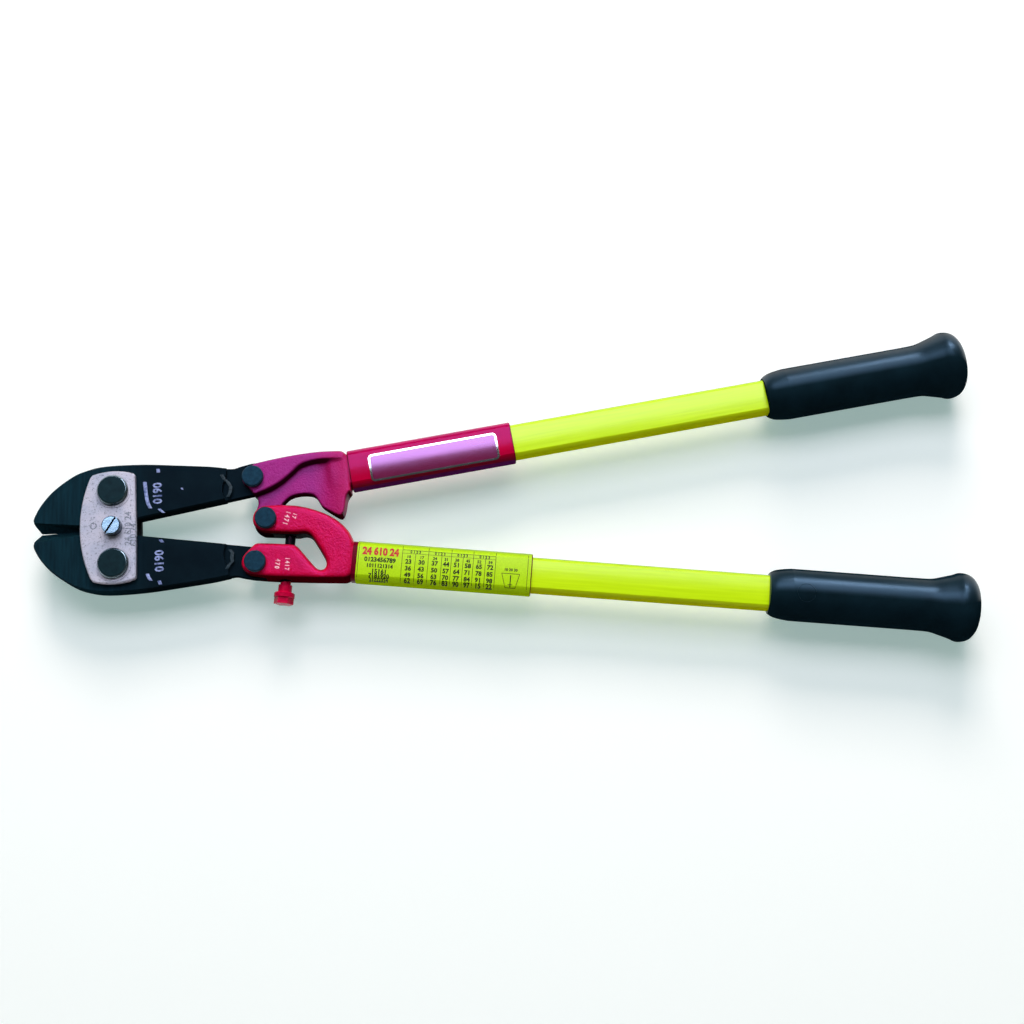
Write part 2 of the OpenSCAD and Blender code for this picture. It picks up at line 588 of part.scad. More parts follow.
module upper_link_bolt() color([0.1, 0.14, 0.18]) place() link_bolt(LINK_BOLT);
module lower_link_bolt() color([0.1, 0.14, 0.18]) place() link_bolt([LINK_BOLT.x, -LINK_BOLT.y]);
module handle_pivot_bolt() color([0.1, 0.14, 0.18]) place() link_bolt([0, 0]);
module upper_link_nut() color([0.1, 0.14, 0.18]) place() link_nut(LINK_BOLT);
module lower_link_nut() color([0.1, 0.14, 0.18]) place() link_nut([LINK_BOLT.x, -LINK_BOLT.y]);
module handle_pivot_nut() color([0.1, 0.14, 0.18]) place() link_nut([0, 0]);

// ---- Ferrules, cross pins, wraps, bars and grips ----

module cross_pins(r, h) for (x = [pin_1, pin_2]) translate([x, 0, 0]) cylinder(r = r, h = h, center = true);

module ferrule(side) place() along_handle(side) difference() {
    handle_section(ferrule_start, ferrule_start + ferrule_len(side), socket_fit + ferrule_wall);
    handle_section(ferrule_start - 1, ferrule_start + ferrule_len(side) + 1, socket_fit);
    cross_pins(pin_d / 2 + pin_fit, 2 * casting_t);
}
module upper_ferrule() color([0.75, 0.02, 0.15]) ferrule(UPPER);
module lower_ferrule() color([0.6, 0.02, 0.12]) ferrule(LOWER);

module ferrule_pins(side) place() along_handle(side) cross_pins(pin_d / 2, ferrule_t);
module upper_ferrule_pins() color([0.6, 0.6, 0.62]) ferrule_pins(UPPER);
module lower_ferrule_pins() color([0.6, 0.6, 0.62]) ferrule_pins(LOWER);

// Vinyl wrap that hides the pins, from a distance behind the ferrule's front end
module wrap(side, front) place() along_handle(side) difference() {
    from = ferrule_start + front;
    to = ferrule_start + ferrule_len(side) - wrap_back;
    inner = socket_fit + ferrule_wall + wrap_fit;
    handle_section(from, to, inner + wrap_t);
    handle_section(from - 1, to + 1, inner);
}
module upper_wrap() color([0.82, 0.05, 0.2]) wrap(UPPER, 0.5);
module lower_wrap() color([0.8, 0.85, 0.1]) wrap(LOWER, 3);

module handle_bar(side) place() along_handle(side) difference() {
    handle_section(bar_start, handle_length(side) - grip_len + bar_in_grip, 0);
    translate([pin_2, 0, 0]) cylinder(r = pin_d / 2 + pin_fit, h = 2 * casting_t, center = true);
}
module upper_handle_bar() color([0.8, 0.86, 0.1]) handle_bar(UPPER);
module lower_handle_bar() color([0.8, 0.86, 0.1]) handle_bar(LOWER);

// Rubber grip: closed sleeve with a rounded mouth and a flared end
module grip(side) place() along_handle(side) difference() {
    r = grip_d / 2;
    f = flare_d / 2;
    mouth = grip_mouth_d / 2;
    translate([handle_length(side) - grip_len, 0, 0]) rotate([0, 90, 0]) rotate_extrude() polygon(concat(
        [[0, 0]],
        curve([[mouth - 0.8, 0], [mouth, 0.8], [mouth + 1.6, 4], [r - 0.6, 9], [r, 14]], 5),
        curve([[r, grip_len - 40], [r + 0.3, grip_len - 30], [r + 2, grip_len - 23], [f - 1.6, grip_len - 17],
               [f, grip_len - flare_back], [f - 1.4, grip_len - 6], [f - 5.5, grip_len - 2.2],
               [f - 11, grip_len - 0.6]], 5),
        [[0, grip_len]]));
    handle_section(0, handle_length(side) - grip_len + bar_in_grip + 0.3, socket_fit);
}
module upper_grip() color([0.05, 0.08, 0.11]) grip(UPPER);
module lower_grip() color([0.05, 0.08, 0.11]) grip(LOWER);

upper_jaw();
lower_jaw();
front_plate();
rear_plate();
upper_jaw_bolt();
lower_jaw_bolt();
upper_jaw_nut();
lower_jaw_nut();
centre_screw();
centre_spacer();
centre_nut();
upper_casting();
lower_casting();
upper_link_bolt();
lower_link_bolt();
handle_pivot_bolt();
upper_link_nut();
lower_link_nut();
handle_pivot_nut();
adjusting_screw();
upper_ferrule();
lower_ferrule();
upper_ferrule_pins();
lower_ferrule_pins();
upper_wrap();
lower_wrap();
upper_handle_bar();
lower_handle_bar();
upper_grip();
lower_grip();
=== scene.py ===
"""Bolt cutters lying on a pale floor: finishes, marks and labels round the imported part.

The tool lies along X with its jaws at -X, and the upper handle is the one at +Y. Blender's
lengths are metres. A length written in millimetres is multiplied by MM, and a place on the
tool is given in millimetres from the handle pivot.
"""
import math

import bpy
from mathutils import Matrix, Vector


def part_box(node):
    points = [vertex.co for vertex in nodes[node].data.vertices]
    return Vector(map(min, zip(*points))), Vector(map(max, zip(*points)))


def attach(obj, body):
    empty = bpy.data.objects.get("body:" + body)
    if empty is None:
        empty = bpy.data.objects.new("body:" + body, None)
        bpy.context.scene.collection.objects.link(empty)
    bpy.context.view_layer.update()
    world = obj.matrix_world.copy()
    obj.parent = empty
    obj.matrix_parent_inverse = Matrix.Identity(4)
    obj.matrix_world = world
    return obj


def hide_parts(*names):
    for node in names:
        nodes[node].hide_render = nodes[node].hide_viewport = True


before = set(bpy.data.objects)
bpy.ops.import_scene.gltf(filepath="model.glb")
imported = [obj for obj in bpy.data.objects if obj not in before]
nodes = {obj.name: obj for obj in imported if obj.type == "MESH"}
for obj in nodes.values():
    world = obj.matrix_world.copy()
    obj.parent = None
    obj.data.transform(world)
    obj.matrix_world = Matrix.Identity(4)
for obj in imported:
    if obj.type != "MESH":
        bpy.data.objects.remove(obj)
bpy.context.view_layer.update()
scene = bpy.context.scene
scene.view_settings.view_transform = "Standard"
MM = 0.001
X_AXIS = (1, 0, 0)
Y_AXIS = (0, 1, 0)


# ---------------------------------------------------------------- places on the tool

def centre(node):
    low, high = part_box(node)
    return (low + high) / 2


def top(node):
    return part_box(node)[1].z


PIVOT = centre("handle_pivot_bolt")
MIDDLE_Z = centre("upper_handle_bar").z
JAW_FACE = top("upper_jaw")
PLATE_FACE = top("front_plate") - 0.5 * MM     # the rings round the bolts stand 0.5 mm proud
CASTING_FACE = top("lower_casting")
JAW_LINE_X = (centre("upper_jaw_bolt").x - PIVOT.x) / MM
UPPER_ANGLE = math.radians(6.9)
LOWER_ANGLE = math.radians(-7.95)
HANDLE_OFFSET = 22.6 * MM


def on_tool(x, y, z):
    """Place at x and y millimetres from the handle pivot, at a height in metres."""
    return Vector((PIVOT.x + x * MM, PIVOT.y + y * MM, z))


def upper_handle(along, out, z):
    """Place on the upper handle, in millimetres along it and to its +Y side."""
    return turned(UPPER_ANGLE, along, out * MM + HANDLE_OFFSET, z)


def lower_handle(along, out, z):
    """Place on the lower handle, in millimetres along it and to its +Y side."""
    return turned(LOWER_ANGLE, along, out * MM - HANDLE_OFFSET, z)


def turned(angle, along, across, z):
    place = Matrix.Rotation(angle, 3, "Z") @ Vector((along * MM, across, 0))
    return Vector((PIVOT.x + place.x, PIVOT.y + place.y, z))


# ---------------------------------------------------------------- camera

CAMERA_TILT = math.radians(13)
CAMERA_TURN = math.radians(-3.6)
CAMERA_DISTANCE = 1.0
LENS = 54.5
TARGET = on_tool(157.25, -3.8, MIDDLE_Z)

bpy.ops.object.camera_add()
camera = bpy.context.object
camera.name = "camera"
camera.rotation_euler = (CAMERA_TILT, 0, CAMERA_TURN)
back = camera.rotation_euler.to_matrix() @ Vector((0, 0, 1))
camera.location = TARGET + CAMERA_DISTANCE * back
camera.data.lens = LENS
camera.data.sensor_width = 36
scene.camera = camera


# ---------------------------------------------------------------- materials: helpers

def linear(code):
    """Linear colour of an sRGB hex value."""
    parts = [int(code[i:i + 2], 16) / 255 for i in (1, 3, 5)]
    return [c / 12.92 if c <= 0.04045 else ((c + 0.055) / 1.055) ** 2.4 for c in parts]


def colour(code):
    return (*linear(code), 1)


def per(mm):
    """Scale of a pattern whose features are mm wide, on Object coordinates."""
    return 1000 / mm


def new_material(name):
    made = bpy.data.materials.new(name)
    made.use_nodes = True
    made.node_tree.nodes.clear()
    return made, made.node_tree


def add(tree, kind, values=None, links=None, stops=None, **settings):
    """Adds a node with its settings, its sockets' values and its links. A colour ramp also
    gets its stops, as places and hex colours."""
    node = tree.nodes.new("ShaderNode" + kind)
    for name, value in settings.items():
        setattr(node, name, value)
    for socket, value in (values or {}).items():
        node.inputs[socket].default_value = value
    for socket, (other, output) in (links or {}).items():
        tree.links.new(other.outputs[output], node.inputs[socket])
    for i, (place, code) in enumerate(stops or []):
        if i > 1:
            node.color_ramp.elements.new(place)
        node.color_ramp.elements[i].position = place
        node.color_ramp.elements[i].color = colour(code)
    return node


# ---------------------------------------------------------------- materials

MULTIPLY = {"data_type": "RGBA", "blend_type": "MULTIPLY"}


def mottled(name, size, detail, stops, rough, depth, surface, grit=0.5):
    """Finish whose colour, roughness and relief share one pattern, with features size mm wide
    and a relief depth mm deep. Its roughness runs between two values, and surface holds the
    shader's own values."""
    made, tree = new_material(name)
    place = add(tree, "TexCoord")
    cloud = add(tree, "TexNoise", {"Scale": per(size), "Detail": detail, "Roughness": grit},
                {"Vector": (place, "Object")})
    tint = add(tree, "ValToRGB", links={"Fac": (cloud, "Fac")}, stops=stops)
    uneven = add(tree, "MapRange", {"To Min": rough[0], "To Max": rough[1]},
                 {"Value": (cloud, "Fac")})
    relief = add(tree, "Bump", {"Distance": depth * MM}, {"Height": (cloud, "Fac")})
    shader = add(tree, "BsdfPrincipled", surface,
                 {"Base Color": (tint, "Color"), "Roughness": (uneven, "Result"),
                  "Normal": (relief, "Normal")})
    add(tree, "OutputMaterial", links={"Surface": (shader, "BSDF")})
    return made


def ink(name, pale, strong):
    """Printing or marking ink: flat, a little thin in places."""
    return mottled(name, size=1.2, detail=4, stops=[(0.35, pale), (0.55, strong)],
                   rough=(0.6, 0.42), depth=0.02, surface={"Specular IOR Level": 0.3})


def black_oxide_steel():
    """Black oxide on forged steel: teal-black on the ground front, near black behind the plates,
    with fine grinding across it. Its walls that face +Y and -Y lose their shine by the way they
    face: painted shade."""
    made, tree = new_material("black_oxide_steel")
    place = add(tree, "TexCoord")
    where = add(tree, "SeparateXYZ", links={"Vector": (place, "Object")})
    facing = add(tree, "SeparateXYZ", links={"Vector": (place, "Normal")})
    across = add(tree, "Mapping", {"Scale": (1, 0.08, 1)}, {"Vector": (place, "Object")})
    cloud = add(tree, "TexNoise", {"Scale": per(14), "Detail": 4}, {"Vector": (place, "Object")})
    grind = add(tree, "TexNoise", {"Scale": per(1.6), "Detail": 3}, {"Vector": (across, "Vector")})
    rear = add(tree, "MapRange", {"From Min": PIVOT.x - 104 * MM, "From Max": PIVOT.x - 74 * MM},
               {"Value": (where, "X")})
    front_tint = add(tree, "ValToRGB", links={"Fac": (grind, "Fac")},
                     stops=[(0.3, "#0a1d24"), (0.7, "#0f2b34")])
    rear_tint = add(tree, "ValToRGB", links={"Fac": (cloud, "Fac")},
                    stops=[(0.35, "#060f13"), (0.7, "#0a171c")])
    tint = add(tree, "Mix", data_type="RGBA",
               links={"Factor": (rear, "Result"), "A": (front_tint, "Color"),
                      "B": (rear_tint, "Color")})
    rough = add(tree, "MapRange", {"To Min": 0.4, "To Max": 0.55}, {"Value": (cloud, "Fac")})
    # Painted shade: the shine fades on walls that face +Y and -Y, by the way they face
    edge = add(tree, "Math", links={0: (facing, "Y")}, operation="ABSOLUTE")
    shine = add(tree, "MapRange", {"From Min": 0.3, "From Max": 0.8, "To Min": 0.09, "To Max": 0.0},
                {"Value": (edge, "Value")})
    relief = add(tree, "Bump", {"Distance": 0.03 * MM}, {"Height": (grind, "Fac")})
    shader = add(tree, "BsdfPrincipled", {"Specular Tint": colour("#8cc4ff")},
                 {"Base Color": (tint, "Result"), "Roughness": (rough, "Result"),
                  "Specular IOR Level": (shine, "Result"), "Normal": (relief, "Normal")})
    add(tree, "OutputMaterial", links={"Surface": (shader, "BSDF")})
    return made


def black_oxide_bolt():
    """Black oxide on cold-forged bolts: near black with a faint green cast, slightly pitted."""
    made, tree = new_material("black_oxide_bolt")
    place = add(tree, "TexCoord")
    cloud = add(tree, "TexNoise", {"Scale": per(4), "Detail": 4}, {"Vector": (place, "Object")})
    pits = add(tree, "TexNoise", {"Scale": per(1.2), "Detail": 3}, {"Vector": (place, "Object")})
    tint = add(tree, "ValToRGB", links={"Fac": (cloud, "Fac")},
               stops=[(0.3, "#0c1d21"), (0.7, "#12282d")])
    rough = add(tree, "MapRange", {"To Min": 0.42, "To Max": 0.3}, {"Value": (pits, "Fac")})
    relief = add(tree, "Bump", {"Distance": 0.05 * MM}, {"Height": (pits, "Fac")})
    shader = add(tree, "BsdfPrincipled", {"Specular IOR Level": 0.12,
                                          "Specular Tint": colour("#b4dcff")},
                 {"Base Color": (tint, "Color"), "Roughness": (rough, "Result"),
                  "Normal": (relief, "Normal")})
    add(tree, "OutputMaterial", links={"Surface": (shader, "BSDF")})
    return made


def tumbled_steel():
    """Stamped steel tumbled in stones: pale lilac-grey, with fine dark pits and a soft sheen."""
    made, tree = new_material("tumbled_steel")
    place = add(tree, "TexCoord")
    cloud = add(tree, "TexNoise", {"Scale": per(12), "Detail": 5}, {"Vector": (place, "Object")})
    pits = add(tree, "TexNoise", {"Scale": per(1.1), "Detail": 6, "Roughness": 0.7},
               {"Vector": (place, "Object")})
    tint = add(tree, "ValToRGB", links={"Fac": (cloud, "Fac")},
               stops=[(0.3, "#b6b8cc"), (0.7, "#d0cad8")])
    speck = add(tree, "ValToRGB", links={"Fac": (pits, "Fac")},
                stops=[(0.34, "#8e949c"), (0.46, "#ffffff")])
    mixed = add(tree, "Mix", {"Factor": 1.0}, {"A": (tint, "Color"), "B": (speck, "Color")},
                **MULTIPLY)
    rough = add(tree, "MapRange", {"To Min": 0.66, "To Max": 0.42}, {"Value": (pits, "Fac")})
    relief = add(tree, "Bump", {"Distance": 0.08 * MM}, {"Height": (pits, "Fac")})
    shader = add(tree, "BsdfPrincipled", {"Metallic": 0.35},
                 {"Base Color": (mixed, "Result"), "Roughness": (rough, "Result"),
                  "Normal": (relief, "Normal")})
    add(tree, "OutputMaterial", links={"Surface": (shader, "BSDF")})
    return made


def bright_zinc():
    """Bright zinc plate: a cool near-mirror, very faintly rippled, with painted shade down its
    sides.
    """
    made, tree = new_material("bright_zinc")
    place = add(tree, "TexCoord")
    ripple = add(tree, "TexNoise", {"Scale": per(3), "Detail": 2}, {"Vector": (place, "Object")})
    facing = add(tree, "SeparateXYZ", links={"Vector": (place, "Normal")})
    clean = add(tree, "ValToRGB", links={"Fac": (ripple, "Fac")},
                stops=[(0.3, "#93b0cc"), (0.7, "#a6c2dc")])
    # Painted shade: its sides darken by the way they face
    side_shade = add(tree, "ValToRGB", links={"Fac": (facing, "Z")},
                stops=[(0.4, "#50606a"), (0.9, "#ffffff")])
    tint = add(tree, "Mix", {"Factor": 1.0}, {"A": (clean, "Color"), "B": (side_shade, "Color")},
               **MULTIPLY)
    rough = add(tree, "MapRange", {"To Min": 0.24, "To Max": 0.15}, {"Value": (ripple, "Fac")})
    relief = add(tree, "Bump", {"Distance": 0.03 * MM}, {"Height": (ripple, "Fac")})
    shader = add(tree, "BsdfPrincipled", {"Metallic": 1.0},
                 {"Base Color": (tint, "Result"), "Roughness": (rough, "Result"),
                  "Normal": (relief, "Normal")})
    add(tree, "OutputMaterial", links={"Surface": (shader, "BSDF")})
    return made


def hammered_enamel(name, front, rear, sheen, level, rough_from):
    """Hammered enamel on cast iron: small dimples that sparkle at the edge of a highlight, under
    a violet sheen. It turns from one tint at the front to another at the rear. Painted shade
    makes its slopes and walls that face -Y dark, matt and purple, and those that face +Y violet."""
    made, tree = new_material(name)
    place = add(tree, "TexCoord")
    where = add(tree, "SeparateXYZ", links={"Vector": (place, "Object")})
    facing = add(tree, "SeparateXYZ", links={"Vector": (place, "Normal")})
    cloud = add(tree, "TexNoise", {"Scale": per(12), "Detail": 3}, {"Vector": (place, "Object")})
    dimples = add(tree, "TexNoise", {"Scale": per(1.3), "Detail": 3, "Roughness": 0.6},
                  {"Vector": (place, "Object")})
    # On the upper casting the front tint is a painted shade and sheen: darker magenta towards the
    # front
    along = add(tree, "MapRange", {"From Min": PIVOT.x + 30 * MM, "From Max": PIVOT.x + 54 * MM},
                {"Value": (where, "X")})
    enamel = add(tree, "Mix", {"A": colour(front), "B": colour(rear)},
                 {"Factor": (along, "Result")},
                 data_type="RGBA")
    # Painted shade by the way the surface faces: dark purple towards -Y, violet towards +Y
    turn = add(tree, "MapRange", {"From Min": -1.0}, {"Value": (facing, "Y")})
    side = add(tree, "ValToRGB", links={"Fac": (turn, "Result")},
               stops=[(0.22, "#5c345c"), (0.45, "#ffffff"), (0.7, "#ffffff"), (0.95, "#b090c0")])
    worn = add(tree, "ValToRGB", links={"Fac": (cloud, "Fac")},
               stops=[(0.3, "#ececec"), (0.7, "#ffffff")])
    both = add(tree, "Mix", {"Factor": 1.0}, {"A": (side, "Color"), "B": (worn, "Color")},
               **MULTIPLY)
    tint = add(tree, "Mix", {"Factor": 1.0}, {"A": (enamel, "Result"), "B": (both, "Result")},
               **MULTIPLY)
    # Painted shade: the shine fades on slopes and walls that face -Y
    shine = add(tree, "MapRange", {"From Min": -0.6, "From Max": -0.1, "To Max": level},
                {"Value": (facing, "Y")})
    rough = add(tree, "MapRange", {"To Min": rough_from, "To Max": rough_from + 0.14},
                {"Value": (dimples, "Fac")})
    relief = add(tree, "Bump", {"Distance": 0.45 * MM}, {"Height": (dimples, "Fac")})
    shader = add(tree, "BsdfPrincipled", {"IOR": 1.6, "Specular Tint": colour(sheen)},
                 {"Base Color": (tint, "Result"), "Roughness": (rough, "Result"),
                  "Specular IOR Level": (shine, "Result"), "Normal": (relief, "Normal")})
    add(tree, "OutputMaterial", links={"Surface": (shader, "BSDF")})
    return made


def dipped_enamel():
    """Adjusting screw: glossy red enamel on its head and neck, black on the shank above."""
    made, tree = new_material("dipped_red_enamel")
    place = add(tree, "TexCoord")
    where = add(tree, "SeparateXYZ", links={"Vector": (place, "Object")})
    runs = add(tree, "TexNoise", {"Scale": per(3), "Detail": 2}, {"Vector": (place, "Object")})
    red = add(tree, "ValToRGB", links={"Fac": (runs, "Fac")},
              stops=[(0.3, "#b00030"), (0.7, "#ca083c")])
    dipped = add(tree, "MapRange", {"From Min": PIVOT.y - 41 * MM, "From Max": PIVOT.y - 40.6 * MM},
                 {"Value": (where, "Y")})
    tint = add(tree, "Mix", {"B": colour("#0c1215")},
               {"Factor": (dipped, "Result"), "A": (red, "Color")}, data_type="RGBA")
    rough = add(tree, "MapRange", {"To Min": 0.3, "To Max": 0.18}, {"Value": (runs, "Fac")})
    relief = add(tree, "Bump", {"Distance": 0.06 * MM}, {"Height": (runs, "Fac")})
    shader = add(tree, "BsdfPrincipled", {"Specular IOR Level": 0.2,
                                          "Specular Tint": colour("#ff9cd8")},
                 {"Base Color": (tint, "Result"), "Roughness": (rough, "Result"),
                  "Normal": (relief, "Normal")})
    add(tree, "OutputMaterial", links={"Surface": (shader, "BSDF")})
    return made


def red_vinyl():
    """Glossy red vinyl shrunk on the upper ferrule: long soft waves under a lilac shine. Painted
    shade darkens it towards its lower side, to purple where it faces -Y and loses its shine,
    and makes the side that faces +Y a darker magenta."""
    made, tree = new_material("glossy_red_vinyl")
    place = add(tree, "TexCoord")
    facing = add(tree, "SeparateXYZ", links={"Vector": (place, "Normal")})
    along = add(tree, "Mapping", {"Rotation": (0, 0, UPPER_ANGLE), "Scale": (3.3, 1, 1)},
                {"Vector": (place, "Object")}, vector_type="TEXTURE")
    waves = add(tree, "TexNoise", {"Scale": per(9), "Detail": 2}, {"Vector": (along, "Vector")})
    # Painted shade by the way the surface faces: dark purple towards -Y, darker magenta towards +Y
    turn = add(tree, "MapRange", {"From Min": -1.0}, {"Value": (facing, "Y")})
    side = add(tree, "ValToRGB", links={"Fac": (turn, "Result")},
               stops=[(0.02, "#5a1a60"), (0.07, "#84082c"), (0.25, "#b00028"), (0.5, "#c60036"),
                      (0.9, "#a80054")])
    depth = add(tree, "ValToRGB", links={"Fac": (waves, "Fac")},
                stops=[(0.3, "#e6e6e6"), (0.7, "#ffffff")])
    tint = add(tree, "Mix", {"Factor": 1.0}, {"A": (side, "Color"), "B": (depth, "Color")},
               **MULTIPLY)
    # Painted shade: the shine fades on the side that faces -Y
    shine = add(tree, "MapRange", {"From Min": -0.9, "From Max": -0.4, "To Max": 0.42},
                {"Value": (facing, "Y")})
    rough = add(tree, "MapRange", {"To Min": 0.2, "To Max": 0.13}, {"Value": (waves, "Fac")})
    relief = add(tree, "Bump", {"Distance": 0.1 * MM}, {"Height": (waves, "Fac")})
    shader = add(tree, "BsdfPrincipled", {"Specular Tint": colour("#c478ff")},
                 {"Base Color": (tint, "Result"), "Roughness": (rough, "Result"),
                  "Specular IOR Level": (shine, "Result"), "Normal": (relief, "Normal")})
    add(tree, "OutputMaterial", links={"Surface": (shader, "BSDF")})
    return made


def yellow_vinyl():
    """Satin yellow label vinyl: slightly uneven ink and very slight waves. Painted shade makes its
    side that faces +Y olive and the one that faces -Y a little darker and without shine."""
    made, tree = new_material("satin_yellow_vinyl")
    place = add(tree, "TexCoord")
    facing = add(tree, "SeparateXYZ", links={"Vector": (place, "Normal")})
    along = add(tree, "Mapping", {"Rotation": (0, 0, LOWER_ANGLE), "Scale": (2.5, 1, 1)},
                {"Vector": (place, "Object")}, vector_type="TEXTURE")
    waves = add(tree, "TexNoise", {"Scale": per(9), "Detail": 3}, {"Vector": (along, "Vector")})
    ink = add(tree, "TexNoise", {"Scale": per(1), "Detail": 4}, {"Vector": (place, "Object")})
    uneven = add(tree, "ValToRGB", links={"Fac": (ink, "Fac")},
                 stops=[(0.3, "#b2dc04"), (0.7, "#c2ea0c")])
    # Painted shade by the way the surface faces: olive towards +Y, a little darker towards -Y
    turn = add(tree, "MapRange", {"From Min": -1.0}, {"Value": (facing, "Y")})
    side = add(tree, "ValToRGB", links={"Fac": (turn, "Result")},
               stops=[(0.02, "#f0f0f0"), (0.1, "#ffffff"), (0.7, "#ffffff"), (0.95, "#b4b89c")])
    tint = add(tree, "Mix", {"Factor": 1.0}, {"A": (uneven, "Color"), "B": (side, "Color")},
               **MULTIPLY)
    # Painted shade: the shine fades on the side that faces -Y
    shine = add(tree, "MapRange", {"From Min": -0.9, "From Max": -0.4, "To Max": 0.25},
                {"Value": (facing, "Y")})
    rough = add(tree, "MapRange", {"To Min": 0.4, "To Max": 0.3}, {"Value": (waves, "Fac")})
    relief = add(tree, "Bump", {"Distance": 0.12 * MM}, {"Height": (waves, "Fac")})
    shader = add(tree, "BsdfPrincipled",
                 links={"Base Color": (tint, "Result"), "Roughness": (rough, "Result"),
                        "Specular IOR Level": (shine, "Result"), "Normal": (relief, "Normal")})
    add(tree, "OutputMaterial", links={"Surface": (shader, "BSDF")})
    return made


def fibreglass_bar(name, angle):
    """Pultruded fibreglass with a yellow gel coat: glossy faces with faint fibres along a handle
    at an angle. Painted shade makes its side that faces +Y olive and the one that faces -Y a
    little darker and without shine."""
    made, tree = new_material(name)
    place = add(tree, "TexCoord")
    facing = add(tree, "SeparateXYZ", links={"Vector": (place, "Normal")})
    along = add(tree, "Mapping", {"Rotation": (0, 0, angle), "Scale": (30, 1, 1)},
                {"Vector": (place, "Object")}, vector_type="TEXTURE")
    fibres = add(tree, "TexNoise", {"Scale": per(1.6), "Detail": 3}, {"Vector": (along, "Vector")})
    coat = add(tree, "ValToRGB", links={"Fac": (fibres, "Fac")},
               stops=[(0.3, "#c8ee00"), (0.7, "#d4f808")])
    # Painted shade by the way the surface faces: olive towards +Y, a little darker towards -Y
    turn = add(tree, "MapRange", {"From Min": -1.0}, {"Value": (facing, "Y")})
    side = add(tree, "ValToRGB", links={"Fac": (turn, "Result")},
               stops=[(0.03, "#f4dcff"), (0.25, "#fff0ff"), (0.45, "#ffffff"), (0.7, "#ffffff"),
                      (0.95, "#b0b8a0")])
    tint = add(tree, "Mix", {"Factor": 1.0}, {"A": (coat, "Color"), "B": (side, "Color")},
               **MULTIPLY)
    # Painted shade: the shine fades on the side that faces -Y
    shine = add(tree, "MapRange", {"From Min": -0.9, "From Max": -0.3, "To Max": 0.5},
                {"Value": (facing, "Y")})
    rough = add(tree, "MapRange", {"To Min": 0.18, "To Max": 0.26}, {"Value": (fibres, "Fac")})
    relief = add(tree, "Bump", {"Distance": 0.03 * MM}, {"Height": (fibres, "Fac")})
    shader = add(tree, "BsdfPrincipled",
                 links={"Base Color": (tint, "Result"), "Roughness": (rough, "Result"),
                        "Specular IOR Level": (shine, "Result"), "Normal": (relief, "Normal")})
    add(tree, "OutputMaterial", links={"Surface": (shader, "BSDF")})
    return made


def moulded_rubber():
    """Moulded rubber: blue-black with a broad soft shine along its top and a fine matt grain,
    duller on both sides."""
    made, tree = new_material("moulded_rubber")
    place = add(tree, "TexCoord")
    facing = add(tree, "SeparateXYZ", links={"Vector": (place, "Normal")})
    cloud = add(tree, "TexNoise", {"Scale": per(18), "Detail": 3}, {"Vector": (place, "Object")})
    grain = add(tree, "TexNoise", {"Scale": per(0.7), "Detail": 2}, {"Vector": (place, "Object")})
    tint = add(tree, "ValToRGB", links={"Fac": (cloud, "Fac")},
               stops=[(0.3, "#0c1b22"), (0.7, "#10232c")])
    rough = add(tree, "MapRange", {"To Min": 0.32, "To Max": 0.4}, {"Value": (cloud, "Fac")})
    # Painted highlight and shade: the shine is kept to a band along the top by the way the surface
    # faces, and fades towards both sides
    off_middle = add(tree, "Math", {1: -0.4}, {0: (facing, "Y")}, operation="ADD")
    edge = add(tree, "Math", links={0: (off_middle, "Value")}, operation="ABSOLUTE")
    shine = add(tree, "MapRange",
                {"From Min": 0.08, "From Max": 0.46, "To Min": 0.62, "To Max": 0.0},
                {"Value": (edge, "Value")})
    relief = add(tree, "Bump", {"Distance": 0.03 * MM}, {"Height": (grain, "Fac")})
    shader = add(tree, "BsdfPrincipled", {"IOR": 1.55, "Specular Tint": colour("#a4d4ff")},
                 {"Base Color": (tint, "Color"), "Roughness": (rough, "Result"),
                  "Specular IOR Level": (shine, "Result"), "Normal": (relief, "Normal")})
    add(tree, "OutputMaterial", links={"Surface": (shader, "BSDF")})
    return made


def gloss_badge():
    """Bare badge field of clear-coated magenta film: a strong lilac shine on deep red."""
    made, tree = new_material("clear_coated_film")
    place = add(tree, "TexCoord")
    along = add(tree, "Mapping", {"Rotation": (0, 0, UPPER_ANGLE), "Scale": (4, 1, 1)},
                {"Vector": (place, "Object")}, vector_type="TEXTURE")
    waves = add(tree, "TexNoise", {"Scale": per(10), "Detail": 2}, {"Vector": (along, "Vector")})
    tint = add(tree, "ValToRGB", links={"Fac": (waves, "Fac")},
               stops=[(0.3, "#6c0430"), (0.7, "#7c083c")])
    rough = add(tree, "MapRange", {"To Min": 0.2, "To Max": 0.13}, {"Value": (waves, "Fac")})
    relief = add(tree, "Bump", {"Distance": 0.03 * MM}, {"Height": (waves, "Fac")})
    shader = add(tree, "BsdfPrincipled", {"IOR": 2.1, "Specular IOR Level": 1.0,
                                          "Specular Tint": colour("#e4acff")},
                 {"Base Color": (tint, "Color"), "Roughness": (rough, "Result"),
                  "Normal": (relief, "Normal")})
    add(tree, "OutputMaterial", links={"Surface": (shader, "BSDF")})
    return made


JAW_STEEL = black_oxide_steel()
BOLT_STEEL = black_oxide_bolt()
PLATE_STEEL = tumbled_steel()
ZINC = bright_zinc()
